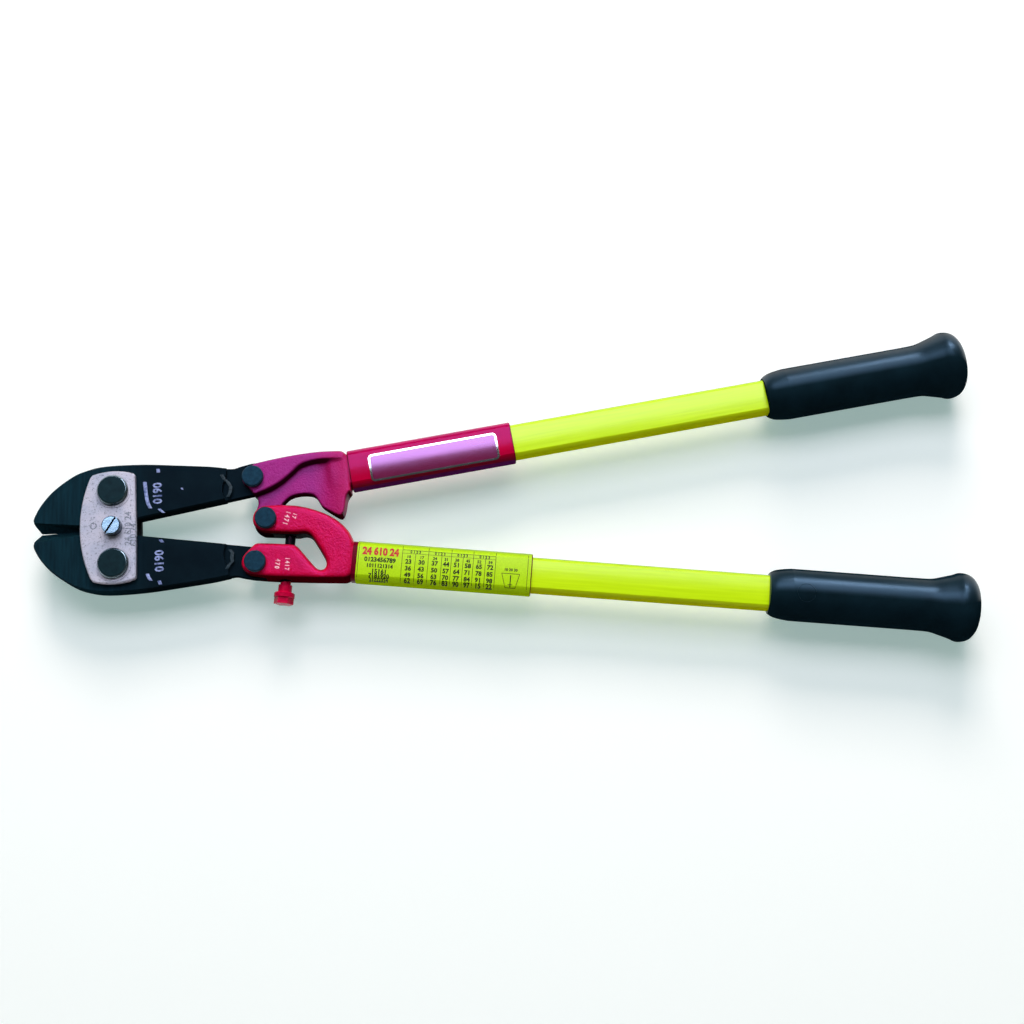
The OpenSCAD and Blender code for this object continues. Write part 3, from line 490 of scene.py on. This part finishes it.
# Upper casting: darker magenta at the front, a painted shade and sheen, red at the rear
UPPER_ENAMEL = hammered_enamel("hammered_magenta_enamel", "#a20c66", "#c2003e", "#cc88ff",
                               1.0, 0.42)
LOWER_ENAMEL = hammered_enamel("hammered_red_enamel", "#d2002e", "#d2002e", "#e070ff", 0.5, 0.26)
SCREW_ENAMEL = dipped_enamel()
RED_VINYL = red_vinyl()
YELLOW_VINYL = yellow_vinyl()
UPPER_COAT = fibreglass_bar("upper_gel_coat", UPPER_ANGLE)
LOWER_COAT = fibreglass_bar("lower_gel_coat", LOWER_ANGLE)
RUBBER = moulded_rubber()
BADGE_FILM = gloss_badge()
BLACK_INK = ink("black_print", "#2c3c08", "#141c06")
RED_INK = ink("red_print", "#d8502a", "#c01c2c")
WHITE_INK = ink("white_marker", "#e878a0", "#ffd0dc")

# Pale wavy streak where a jaw's face steps down to its tongue, a painted highlight for the lit edge
# of that step: grey-blue on black, and flat
STEP_HIGHLIGHT = ink("painted_step_highlight", "#0f1c23", "#24353f")

# Rear side plate: near black and dull
REAR_PLATE_STEEL = mottled("near_black_rear_plate", size=7, detail=4,
                           stops=[(0.3, "#0a161b"), (0.7, "#101f26")], rough=(0.62, 0.48),
                           depth=0.03, surface={"Specular IOR Level": 0.25})

# Rims of the jaw bolts' heads, rubbed to a dark polish that flashes at a lamp
RIM_STEEL = mottled("polished_oxide_rim", size=4, detail=3,
                    stops=[(0.3, "#7a8c98"), (0.7, "#9cacb8")], rough=(0.28, 0.18),
                    depth=0.02, surface={"Metallic": 1.0})

# Heat-blued steel bolt heads: flat blue-grey and matt, finely mottled
BLUED_STEEL = mottled("blued_steel", size=2.5, detail=5, grit=0.65,
                      stops=[(0.3, "#0f2733"), (0.7, "#193b4c")], rough=(0.58, 0.44), depth=0.03,
                      surface={"Specular IOR Level": 0.22, "Specular Tint": colour("#8cb8ff")})

# Painted shade in the slots of the lower casting and on its walls there that face -Y: near black
# and matt
SLOT_SHADE = mottled("painted_slot_shade", size=3, detail=4, stops=[(0.3, "#0b1013"), (0.7, "#141b1f")],
                 rough=(0.85, 0.7), depth=0.1, surface={"Specular IOR Level": 0.1})

# Dark red enamel sprayed on the ferrules: smooth, with a slight orange peel
FERRULE_ENAMEL = mottled("sprayed_dark_red_enamel", size=2, detail=2,
                         stops=[(0.3, "#5e0018"), (0.7, "#70001e")], rough=(0.34, 0.22),
                         depth=0.02, surface={"Specular IOR Level": 0.06})

# Pale lilac-blue on the raised marks of the jaws: a painted highlight for the light that their
# raised edges catch
MARK_HIGHLIGHT = mottled("painted_mark_highlight", size=2, detail=4,
                       stops=[(0.35, "#46568a"), (0.6, "#98a4d4")], rough=(0.55, 0.38),
                       depth=0.05, surface={"Specular IOR Level": 0.3})

# Stamped steel with grime left in it: a grey a little darker than the plate
STAMPING = mottled("grimed_stamping", size=0.8, detail=4,
                   stops=[(0.35, "#5d6470"), (0.6, "#a3a4b4")], rough=(0.6, 0.42), depth=0.05,
                   surface={"Metallic": 0.4})

# Chromed foil round the badge plate: a mirror with slight ripples
CHROME = mottled("chromed_foil", size=6, detail=2, stops=[(0.3, "#dce6ec"), (0.7, "#eef4f8")],
                 rough=(0.18, 0.1), depth=0.03, surface={"Metallic": 1.0})

FINISHES = [
    (JAW_STEEL, ["upper_jaw", "lower_jaw"]),
    (PLATE_STEEL, ["front_plate"]),
    (REAR_PLATE_STEEL, ["rear_plate"]),
    (BOLT_STEEL, ["upper_jaw_bolt", "lower_jaw_bolt", "upper_jaw_nut", "lower_jaw_nut"]),
    (ZINC, ["centre_screw", "centre_nut", "centre_spacer",
            "upper_ferrule_pins", "lower_ferrule_pins"]),
    (BLUED_STEEL, ["upper_link_bolt", "lower_link_bolt", "handle_pivot_bolt",
                   "upper_link_nut", "lower_link_nut", "handle_pivot_nut"]),
    (UPPER_ENAMEL, ["upper_casting"]),
    (LOWER_ENAMEL, ["lower_casting"]),
    (SCREW_ENAMEL, ["adjusting_screw"]),
    (FERRULE_ENAMEL, ["upper_ferrule", "lower_ferrule"]),
    (RED_VINYL, ["upper_wrap"]),
    (YELLOW_VINYL, ["lower_wrap"]),
    (UPPER_COAT, ["upper_handle_bar"]),
    (LOWER_COAT, ["lower_handle_bar"]),
    (RUBBER, ["upper_grip", "lower_grip"]),
]
for finish, names in FINISHES:
    for name in names:
        nodes[name].data.materials.clear()
        nodes[name].data.materials.append(finish)


# ---------------------------------------------------------------- modelling: helpers

def deselect():
    bpy.ops.object.select_all(action="DESELECT")


def named(name, finish):
    """Names the object just made and gives it a material."""
    piece = bpy.context.object
    piece.name = name
    piece.data.name = name
    piece.data.materials.clear()
    piece.data.materials.append(finish)
    return piece


def apply_modifier(piece, kind, **settings):
    bpy.context.view_layer.objects.active = piece
    modifier = piece.modifiers.new(kind.lower(), kind)
    for name, value in settings.items():
        setattr(modifier, name, value)
    bpy.ops.object.modifier_apply(modifier=modifier.name)


def put(piece, place, angle=0.0):
    """Turns a piece modelled round the origin and moves it to its place, in its mesh."""
    piece.data.transform(Matrix.Translation(place) @ Matrix.Rotation(angle, 4, "Z"))
    piece.matrix_world = Matrix.Identity(4)
    return piece


def lay_on(piece, target, lift):
    """Lays a flat piece on a node or piece below it, to follow its surface."""
    apply_modifier(piece, "SHRINKWRAP", target=target, wrap_method="PROJECT", use_project_z=True,
                   use_negative_direction=True, use_positive_direction=True, offset=lift)
    return piece


def join(pieces, name):
    deselect()
    for piece in pieces:
        piece.select_set(True)
    bpy.context.view_layer.objects.active = pieces[0]
    if len(pieces) > 1:
        bpy.ops.object.join()
    pieces[0].name = name
    pieces[0].data.name = name
    return pieces[0]


def flat(name, finish, length, width):
    """Flat rectangle round the origin, its length along X, left in edit mode."""
    deselect()
    bpy.ops.mesh.primitive_plane_add(size=1)
    piece = named(name, finish)
    piece.data.transform(Matrix.Diagonal((length, width, 1, 1)))
    bpy.ops.object.mode_set(mode="EDIT")
    return piece


def cut(axis, places):
    """Cuts the piece in edit mode across an axis at places along it, so that it can follow a
    surface, and leaves edit mode."""
    for place in places:
        bpy.ops.mesh.select_all(action="SELECT")
        bpy.ops.mesh.bisect(plane_co=[place * part for part in axis], plane_no=axis)
    bpy.ops.object.mode_set(mode="OBJECT")


def numbers(name, finish, text, size, stretch=1.0, thick=0.0, bold=0.025):
    """Plain numbers round the origin, as a mesh. Their strokes grow by bold times the size."""
    deselect()
    bpy.ops.object.text_add()
    words = bpy.context.object
    words.data.body = text
    words.data.size = size
    words.data.extrude = thick
    words.data.offset = bold * size
    words.data.align_x = "CENTER"
    words.data.align_y = "CENTER"
    words.data.resolution_u = 2
    bpy.ops.object.convert(target="MESH")
    piece = named(name, finish)
    piece.data.transform(Matrix.Diagonal((stretch, 1, 1, 1)))
    return piece


def rides(piece, body):
    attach(piece, body)


# ---------------------------------------------------------------- castings

def cast_skin(node, name, voxel, passes):
    """Cast surface of a casting: its solid's form with every edge and corner softened."""
    deselect()
    nodes[node].select_set(True)
    bpy.context.view_layer.objects.active = nodes[node]
    bpy.ops.object.duplicate()
    skin = bpy.context.object
    skin.parent = None
    skin.name = name
    skin.data.name = name
    bpy.ops.object.mode_set(mode="EDIT")
    bpy.ops.mesh.select_all(action="SELECT")
    bpy.ops.mesh.remove_doubles(threshold=0.001 * MM)
    bpy.ops.object.mode_set(mode="OBJECT")
    apply_modifier(skin, "REMESH", mode="VOXEL", voxel_size=voxel, use_smooth_shade=True)
    apply_modifier(skin, "SMOOTH", factor=0.5, iterations=passes)
    return skin


SKIN_EDGE = CASTING_FACE - MIDDLE_Z - 2.2 * MM    # below the rounded edge of a casting's face
SLOT_EDGE = 5.5 * MM                              # inside the slots for the tongue and the lug
CAST_VOXEL = 0.5 * MM
EASING = 90                                       # smoothing passes for a soft slope


def paint_slot_shade(skin, low, high):
    """Gives painted shade, near black, to the floors of the slots, and to the walls between two
    corners that face -Y."""
    skin.data.materials.append(SLOT_SHADE)
    for face in skin.data.polygons:
        inside = low.x < face.center.x < high.x and low.y < face.center.y < high.y
        level = abs(face.center.z - MIDDLE_Z)
        if inside and face.normal.y < -0.1 and abs(face.normal.z) < 0.5 and level < SKIN_EDGE:
            face.material_index = 1
        if level < SLOT_EDGE and abs(face.normal.z) > 0.4:
            face.material_index = 1


def ease(skin, low, high):
    """Eases the steps of a cast surface between two corners into one soft slope."""
    bpy.context.view_layer.objects.active = skin
    for vertex in skin.data.vertices:
        place = vertex.co
        vertex.select = low.x < place.x < high.x and low.y < place.y < high.y and place.z > low.z
    bpy.ops.object.mode_set(mode="EDIT")
    bpy.ops.mesh.vertices_smooth(factor=0.5, repeat=EASING)
    bpy.ops.object.mode_set(mode="OBJECT")


upper_skin = cast_skin("upper_casting", "upper_cast_arm", CAST_VOXEL, 28)
ease(upper_skin, on_tool(34, 14, MIDDLE_Z), on_tool(49.5, 37, 0))
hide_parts("upper_casting")
rides(upper_skin, "upper_handle")

lower_skin = cast_skin("lower_casting", "lower_cast_arm", CAST_VOXEL, 24)
ease(lower_skin, on_tool(-30, -60, CASTING_FACE - 5 * MM), on_tool(70, 30, 0))
paint_slot_shade(lower_skin, on_tool(-11, -18.5, 0), on_tool(17, -8.5, 0))
paint_slot_shade(lower_skin, on_tool(17, -36.5, 0), on_tool(38.5, -9.5, 0))
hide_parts("lower_casting")
rides(lower_skin, "lower_handle")


# ---------------------------------------------------------------- marks on the castings

def scratched_numbers(name, text, size, x, y, angle):
    """Numbers written by hand with a marker, thin and slanted."""
    piece = numbers(name, WHITE_INK, text, size * MM, 0.75, 0, 0.04)
    put(piece, on_tool(x, y, CASTING_FACE + 0.5 * MM), math.radians(angle))
    return lay_on(piece, lower_skin, 0.04 * MM)


marks = [
    scratched_numbers("mark_1", "1 4 7 1", 4.2, 13.2, -0.6, -108),
    scratched_numbers("mark_2", "1 7", 3.4, 18.2, 0.6, -112),
    scratched_numbers("mark_3", "4 7 0", 4.0, 6.4, -30, -100),
    scratched_numbers("mark_4", "1 4 1 7", 3.8, 12.6, -30.4, -96),
]
rides(join(marks, "casting_numbers"), "lower_handle")


# ---------------------------------------------------------------- jaw bolts

BOLT_VOXEL = 0.3 * MM
RIM_SLOPE = (0.5, 0.975)                # upward part of the normal on a head's rounded rim


def bolt_skin(node):
    """Jaw bolt with the rim of its head rounded and rubbed to a polish."""
    skin = cast_skin(node, node + "_worn", BOLT_VOXEL, 5)
    skin.data.materials.append(RIM_STEEL)
    for face in skin.data.polygons:
        if face.center.z > PLATE_FACE and RIM_SLOPE[0] < face.normal.z < RIM_SLOPE[1]:
            face.material_index = 1
    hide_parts(node)
    rides(skin, "side_plates")


bolt_skin("upper_jaw_bolt")
bolt_skin("lower_jaw_bolt")


# ---------------------------------------------------------------- jaws

def raised_bar(name, places, width, height, finish=MARK_HIGHLIGHT):
    """Low bar on a jaw's face that runs through places, its top edges rounded off."""
    deselect()
    bpy.ops.mesh.primitive_cube_add(size=1)
    piece = named(name, finish)
    piece.data.transform(Matrix.Diagonal((width * MM, 0.4 * MM, height * MM, 1)))
    put(piece, on_tool(*places[0], JAW_FACE))
    bpy.ops.object.mode_set(mode="EDIT")
    bpy.ops.mesh.select_mode(type="FACE")
    bpy.ops.mesh.select_all(action="DESELECT")
    bpy.ops.object.mode_set(mode="OBJECT")
    for face in piece.data.polygons:
        face.select = face.normal.y < -0.9
    bpy.ops.object.mode_set(mode="EDIT")
    for (x0, y0), (x1, y1) in zip(places, places[1:]):
        step = ((x1 - x0) * MM, (y1 - y0) * MM, 0)
        bpy.ops.mesh.extrude_region_move(TRANSFORM_OT_translate={"value": step})
    bpy.ops.object.mode_set(mode="OBJECT")
    apply_modifier(piece, "BEVEL", width=0.28 * MM, segments=2, limit_method="ANGLE")
    bpy.ops.object.shade_smooth_by_angle(angle=math.radians(50))
    return piece


def raised_numbers(name, text, x, y):
    """Forged numbers on a jaw's face, read from its back edge inwards."""
    piece = numbers(name, MARK_HIGHLIGHT, text, 8 * MM, 0.88, 0.12 * MM)
    return put(piece, on_tool(x, y, JAW_FACE), math.radians(-90))


upper_marks = [
    raised_bar("upper_bar",
               [(-77.5, 29.2), (-77.0, 24), (-76.4, 18.5), (-75.4, 14.6), (-74.0, 11.8)],
               2.4, 0.5),
    raised_bar("upper_top_mark", [(-68.9, 37.4), (-68.7, 35.2)], 2.3, 0.5),
    raised_bar("upper_low_mark", [(-68.2, 10.8), (-66.9, 9.5), (-65.6, 8.4)], 2.2, 0.5),
    raised_numbers("upper_size", "0610", -69.8, 21.4),
    raised_bar("upper_dot", [(-53.9, 23.8), (-53.2, 22.9)], 1.2, 0.3),
]
rides(join(upper_marks, "upper_jaw_marks"), "upper_jaw")

lower_marks = [
    raised_bar("lower_bar", [(-76.4, -31.0), (-75.6, -33.2), (-74.2, -35.4)], 2.2, 0.5),
    raised_bar("lower_top_mark", [(-67.8, -9.4), (-66.4, -11.0)], 2.3, 0.5),
    raised_bar("lower_low_mark", [(-69.0, -36.0), (-68.2, -38.2)], 2.3, 0.5),
    raised_numbers("lower_size", "0610", -69.2, -23),
]
rides(join(lower_marks, "lower_jaw_marks"), "lower_jaw")


def step_highlight_streak(name, places, body):
    """Pale wavy streak across a jaw, ahead of its tongue: a painted highlight for the lit edge of
    the step there.
    """
    rides(raised_bar(name, places, 2.2, 0.12, STEP_HIGHLIGHT), body)


step_highlight_streak("upper_step_highlight",
             [(-28, 31), (-26.4, 28), (-24.2, 26.3), (-22.4, 23), (-22.8, 19.5), (-24.4, 16.4)],
             "upper_jaw")
step_highlight_streak("lower_step_highlight",
             [(-23.7, -18.6), (-22.2, -20.5), (-22.8, -23.5), (-22.4, -26), (-24.8, -28.5),
              (-26, -30.6)],
             "lower_jaw")


# ---------------------------------------------------------------- side plate

def plate_ring():
    """Small round punch mark on the front plate."""
    deselect()
    bpy.ops.mesh.primitive_torus_add(major_radius=1.9 * MM, minor_radius=0.35 * MM,
                                     major_segments=40, minor_segments=8)
    piece = named("plate_ring", STAMPING)
    piece.data.transform(Matrix.Diagonal((1, 1, 0.3, 1)))
    bpy.ops.object.shade_smooth()
    return put(piece, on_tool(JAW_LINE_X - 12.6, 1.4, PLATE_FACE))


def plate_numbers():
    """Column of numbers stamped behind the centre screw, read from the lower end upwards."""
    columns = []
    for name, text, x, y in (("plate_column_1", "24 610 24", -87.4, -1.6),
                             ("plate_column_2", "610 24", -84.2, -6.0)):
        piece = numbers(name, STAMPING, text, 6 * MM, 0.9, 0.05 * MM)
        columns.append(put(piece, on_tool(x, y, PLATE_FACE), math.radians(90)))
    return columns


rides(join([plate_ring()] + plate_numbers(), "plate_stamping"), "side_plates")


# ---------------------------------------------------------------- badge on the upper ferrule

BADGE_LENGTH = 84 * MM
BADGE_WIDTH = 18 * MM
BADGE_MIDDLE = (112.4, -2.4)                    # along and across the upper handle
RIM_WIDTH = 1.3 * MM
CUT_SPACING = 0.9 * MM
BADGE_CUTS = [i * CUT_SPACING for i in range(-10, 11)]
FACE_BOW = 90 * MM                              # radius of the ferrules' broad faces


def badge_field(name, finish, shrink, corner):
    """Flat rounded rectangle, smaller than the badge all round, left in edit mode."""
    piece = flat(name, finish, BADGE_LENGTH - 2 * shrink, BADGE_WIDTH - 2 * shrink)
    bpy.ops.mesh.select_mode(type="VERT")
    bpy.ops.mesh.select_all(action="SELECT")
    bpy.ops.mesh.bevel(offset=corner, segments=6, affect="VERTICES")
    return piece


def badge_rim():
    """Chromed rim round the badge."""
    piece = badge_field("badge_rim", CHROME, 0, 2.8 * MM)
    bpy.ops.mesh.select_all(action="SELECT")
    bpy.ops.mesh.inset(thickness=RIM_WIDTH)
    bpy.ops.mesh.delete(type="FACE")
    cut(Y_AXIS, BADGE_CUTS)
    return piece


def badge_film():
    """Film that fills the badge, its edge under the rim."""
    piece = badge_field("badge_film", BADGE_FILM, 1.2 * MM, 1.8 * MM)
    cut(Y_AXIS, BADGE_CUTS)
    return piece


def fix_badge(piece, lift, thick):
    """Bows a part of the badge like the ferrule's face, and gives it its thickness and place."""
    for vertex in piece.data.vertices:
        across = vertex.co.y + BADGE_MIDDLE[1] * MM
        vertex.co.z = lift - across ** 2 / (2 * FACE_BOW)
    apply_modifier(piece, "SOLIDIFY", thickness=thick, offset=-1)
    put(piece, upper_handle(*BADGE_MIDDLE, top("upper_wrap")), UPPER_ANGLE)
    bpy.ops.object.shade_smooth_by_angle(angle=math.radians(40))
    rides(piece, "upper_handle")


fix_badge(badge_rim(), 0.34 * MM, 0.3 * MM)
fix_badge(badge_film(), 0.14 * MM, 0.1 * MM)


# ---------------------------------------------------------------- table on the lower wrap

# Places along and across the lower handle, in millimetres
LABEL_START = 61.4
TABLE_LINES = [89.2, 105.8, 120.4, 134.4, 148.6]
INNER_LINES = [97.6, 114.3, 127.9, 142.1]
LABEL_END = 169.2
LABEL_TOP = 11.4
LABEL_FOOT = -12.9
HEAD_LINE = 8.8
SUB_LINE = 6.6
LABEL_LIFT = 0.05 * MM


def rule(name, start, end, width=0.3):
    """Printed line on the lower wrap between two places along and across it."""
    (a0, o0), (a1, o1) = start, end
    length = math.hypot(a1 - a0, o1 - o0)
    cuts = max(2, round(length))
    piece = flat(name, BLACK_INK, length * MM, width * MM)
    cut(X_AXIS, [(i / cuts - 0.5) * (length * MM) for i in range(1, cuts)])
    angle = math.atan2(o1 - o0, a1 - a0)
    middle = ((a0 + a1) / 2, (o0 + o1) / 2)
    put(piece, lower_handle(*middle, top("lower_wrap") + 2 * MM), LOWER_ANGLE + angle)
    return lay_on(piece, nodes["lower_wrap"], LABEL_LIFT)


def printed(name, text, size, along, across, finish=BLACK_INK, stretch=1.0, bold=0.04):
    """Printed numbers on the lower wrap, centred on a place along and across it. They are cut
    crosswise to follow its bow."""
    piece = numbers(name, finish, text, size * MM, stretch, 0, bold)
    bpy.ops.object.mode_set(mode="EDIT")
    cut(Y_AXIS, [i * 0.1 * size * MM for i in range(-4, 5)])
    put(piece, lower_handle(along, across, top("lower_wrap") + 2 * MM), LOWER_ANGLE)
    return lay_on(piece, nodes["lower_wrap"], LABEL_LIFT)


def table_rules():
    lines = [rule("rule_edge", (LABEL_START, LABEL_TOP), (LABEL_START, LABEL_FOOT)),
             rule("rule_end", (LABEL_END, LABEL_TOP), (LABEL_END, LABEL_FOOT)),
             rule("rule_head", (TABLE_LINES[0], HEAD_LINE), (TABLE_LINES[-1], HEAD_LINE), 0.25),
             rule("rule_sub", (TABLE_LINES[0], SUB_LINE), (TABLE_LINES[-1], SUB_LINE), 0.2)]
    for i, along in enumerate(TABLE_LINES):
        lines.append(rule(f"rule_{i}", (along, LABEL_TOP), (along, LABEL_FOOT)))
    for i, along in enumerate(INNER_LINES):
        lines.append(rule(f"rule_inner_{i}", (along, SUB_LINE), (along, LABEL_FOOT)))
    return lines


def table_numbers():
    """Two columns between each pair of long lines, each with a head and five rows."""
    cells = []
    edges = sorted(TABLE_LINES + INNER_LINES)
    rows = [4.4, 1.2, -3.2, -7.4, -10.9]
    for i, (left, right) in enumerate(zip(edges, edges[1:])):
        for j, across in enumerate(rows):
            text = str(10 + (7 * i + 13 * j) % 89)
            size = 2.6 if j == 0 else 4.0
            cells.append(printed(f"cell_{i}_{j}", text, size, (left + right) / 2, across))
    for i, (left, right) in enumerate(zip(TABLE_LINES, TABLE_LINES[1:])):
        cells.append(printed(f"head_{i}", "0 1 2 3", 2.4, (left + right) / 2, 7.7))
    return cells


def first_block():
    """Block of plain numbers at the front of the label, under a large red one."""
    middle = (LABEL_START + TABLE_LINES[0]) / 2
    lines = [("0123456789", 4.0, 0.9), ("1011121314", 3.4, -3.0), ("15161", 4.0, -6.6),
             ("7181920", 3.8, -9.4), ("21222324", 3.0, -11.7)]
    block = [printed(f"line_{i}", text, size, middle, across)
             for i, (text, size, across) in enumerate(lines)]
    block.append(printed("red_number", "24 610 24", 6.6, middle, 6.2, RED_INK, 0.86, 0.055))
    return block


def last_block():
    """Outline of a notch with a bar in it, and a row of numbers above."""
    corners = [(153.0, -1.6), (164.4, -1.6), (162.0, -10.6), (155.6, -10.6)]
    sides = zip(corners, corners[1:] + corners[:1])
    lines = [rule(f"notch_{i}", start, end, 0.35) for i, (start, end) in enumerate(sides)]
    lines.append(rule("notch_bar", (158.7, -2.6), (158.7, -10.2), 0.7))
    lines.append(rule("notch_foot", (157.2, -8.6), (160.2, -8.6), 0.35))
    lines.append(printed("notch_numbers", "10 20 30", 2.4, 158.6, 0.8))
    return lines


label = join(table_rules() + table_numbers() + first_block() + last_block(), "label_print")
rides(label, "lower_handle")


# ---------------------------------------------------------------- grip

RING_ALONG = 344.8
RING_RADIUS = 5.8 * MM
GRIP_RADIUS = 16.68 * MM                # a hair under the grip's own, so that the circle sinks in


def grip_ring():
    """Thin moulded circle near the mouth of the lower grip."""
    deselect()
    bpy.ops.mesh.primitive_torus_add(major_radius=RING_RADIUS, minor_radius=0.2 * MM,
                                     major_segments=72, minor_segments=8)
    piece = named("grip_ring", RUBBER)
    put(piece, lower_handle(RING_ALONG, -0.9, 0))
    for vertex in piece.data.vertices:
        from_axis = vertex.co - lower_handle(RING_ALONG, 0, 0)
        across = (Matrix.Rotation(-LOWER_ANGLE, 3, "Z") @ from_axis).y
        vertex.co.z = 0.5 * vertex.co.z + MIDDLE_Z + math.sqrt(GRIP_RADIUS ** 2 - across ** 2)
    bpy.ops.object.shade_smooth()
    rides(piece, "lower_handle")


grip_ring()


# ---------------------------------------------------------------- floor, world and lamps

def paper_floor():
    """White paper with a faint green glow of its own, which lifts its shadows and lights nothing
    else, and plain white away from the tool."""
    made, tree = new_material("white_paper")
    place = add(tree, "TexCoord")
    away = add(tree, "VectorMath", links={0: (place, "Object")}, operation="LENGTH")
    clear = add(tree, "MapRange", {"From Min": 0.45, "From Max": 1.1}, {"Value": (away, "Value")})
    paper = add(tree, "BsdfDiffuse", {"Color": colour("#ecdfde")})
    path = add(tree, "LightPath")
    seen = add(tree, "Math", links={0: (path, "Is Camera Ray"), 1: (path, "Is Glossy Ray")},
               operation="MAXIMUM")
    through = add(tree, "Math", links={0: (seen, "Value"), 1: (path, "Is Transmission Ray")},
                  operation="MAXIMUM")
    tint = add(tree, "Mix", {"A": colour("#88a29f"), "B": colour("#ffffff")},
               {"Factor": (clear, "Result")}, data_type="RGBA")
    glow = add(tree, "Emission", links={"Color": (tint, "Result"), "Strength": (through, "Value")})
    both = add(tree, "AddShader", links={0: (paper, "BSDF"), 1: (glow, "Emission")})
    add(tree, "OutputMaterial", links={"Surface": (both, "Shader")})
    return made


FLOOR_SIZE = 16

bpy.ops.mesh.primitive_plane_add(size=FLOOR_SIZE)
floor = bpy.context.object
floor.name = "floor"
floor.data.materials.append(paper_floor())

# White to the camera, and a dim grey studio to every surface, paler near the floor
world = bpy.data.worlds.new("studio")
scene.world = world
world.use_nodes = True
sky = world.node_tree
sky.nodes.clear()
where = add(sky, "TexCoord")
split = add(sky, "SeparateXYZ", links={"Vector": (where, "Generated")})
height = add(sky, "ValToRGB", links={"Fac": (split, "Z")},
             stops=[(0.0, "#848c8a"), (0.06, "#747c7a"), (0.25, "#4c5452"), (1.0, "#303634")])
sky_path = add(sky, "LightPath")
backdrop = add(sky, "Mix", {"B": colour("#ffffff")}, data_type="RGBA",
               links={"Factor": (sky_path, "Is Camera Ray"), "A": (height, "Color")})
sky_light = add(sky, "Background", {"Strength": 1.0}, {"Color": (backdrop, "Result")})
add(sky, "OutputWorld", links={"Surface": (sky_light, "Background")})


def softbox(name, size, place, aim, power, code):
    """Rectangular lamp at a place, turned to face another."""
    bpy.ops.object.light_add(type="AREA", location=place)
    lamp = bpy.context.object
    lamp.name = name
    lamp.rotation_euler = (Vector(aim) - Vector(place)).to_track_quat("-Z", "Y").to_euler()
    lamp.data.shape = "RECTANGLE"
    lamp.data.size, lamp.data.size_y = size
    lamp.data.energy = power
    lamp.data.color = linear(code)
    return lamp


softbox("key", (2.6, 2.0), (0.2, 5.2, 3.0), (0, 0, 0), 306, "#fffcf6").visible_glossy = False
softbox("overhead", (1.9, 0.95), (0, 0.87, 1.5), (0, 0.7, 0), 25, "#e8eefa")
softbox("rim", (1.0, 0.6), (1.2, 2.5, 1.5), (-0.1, 0, 0.03), 34, "#f4f6ff").visible_diffuse = False
softbox("fill", (2.0, 1.0), (0.3, -3.0, 1.2), (0, 0, 0), 15, "#fffaf4").visible_glossy = False
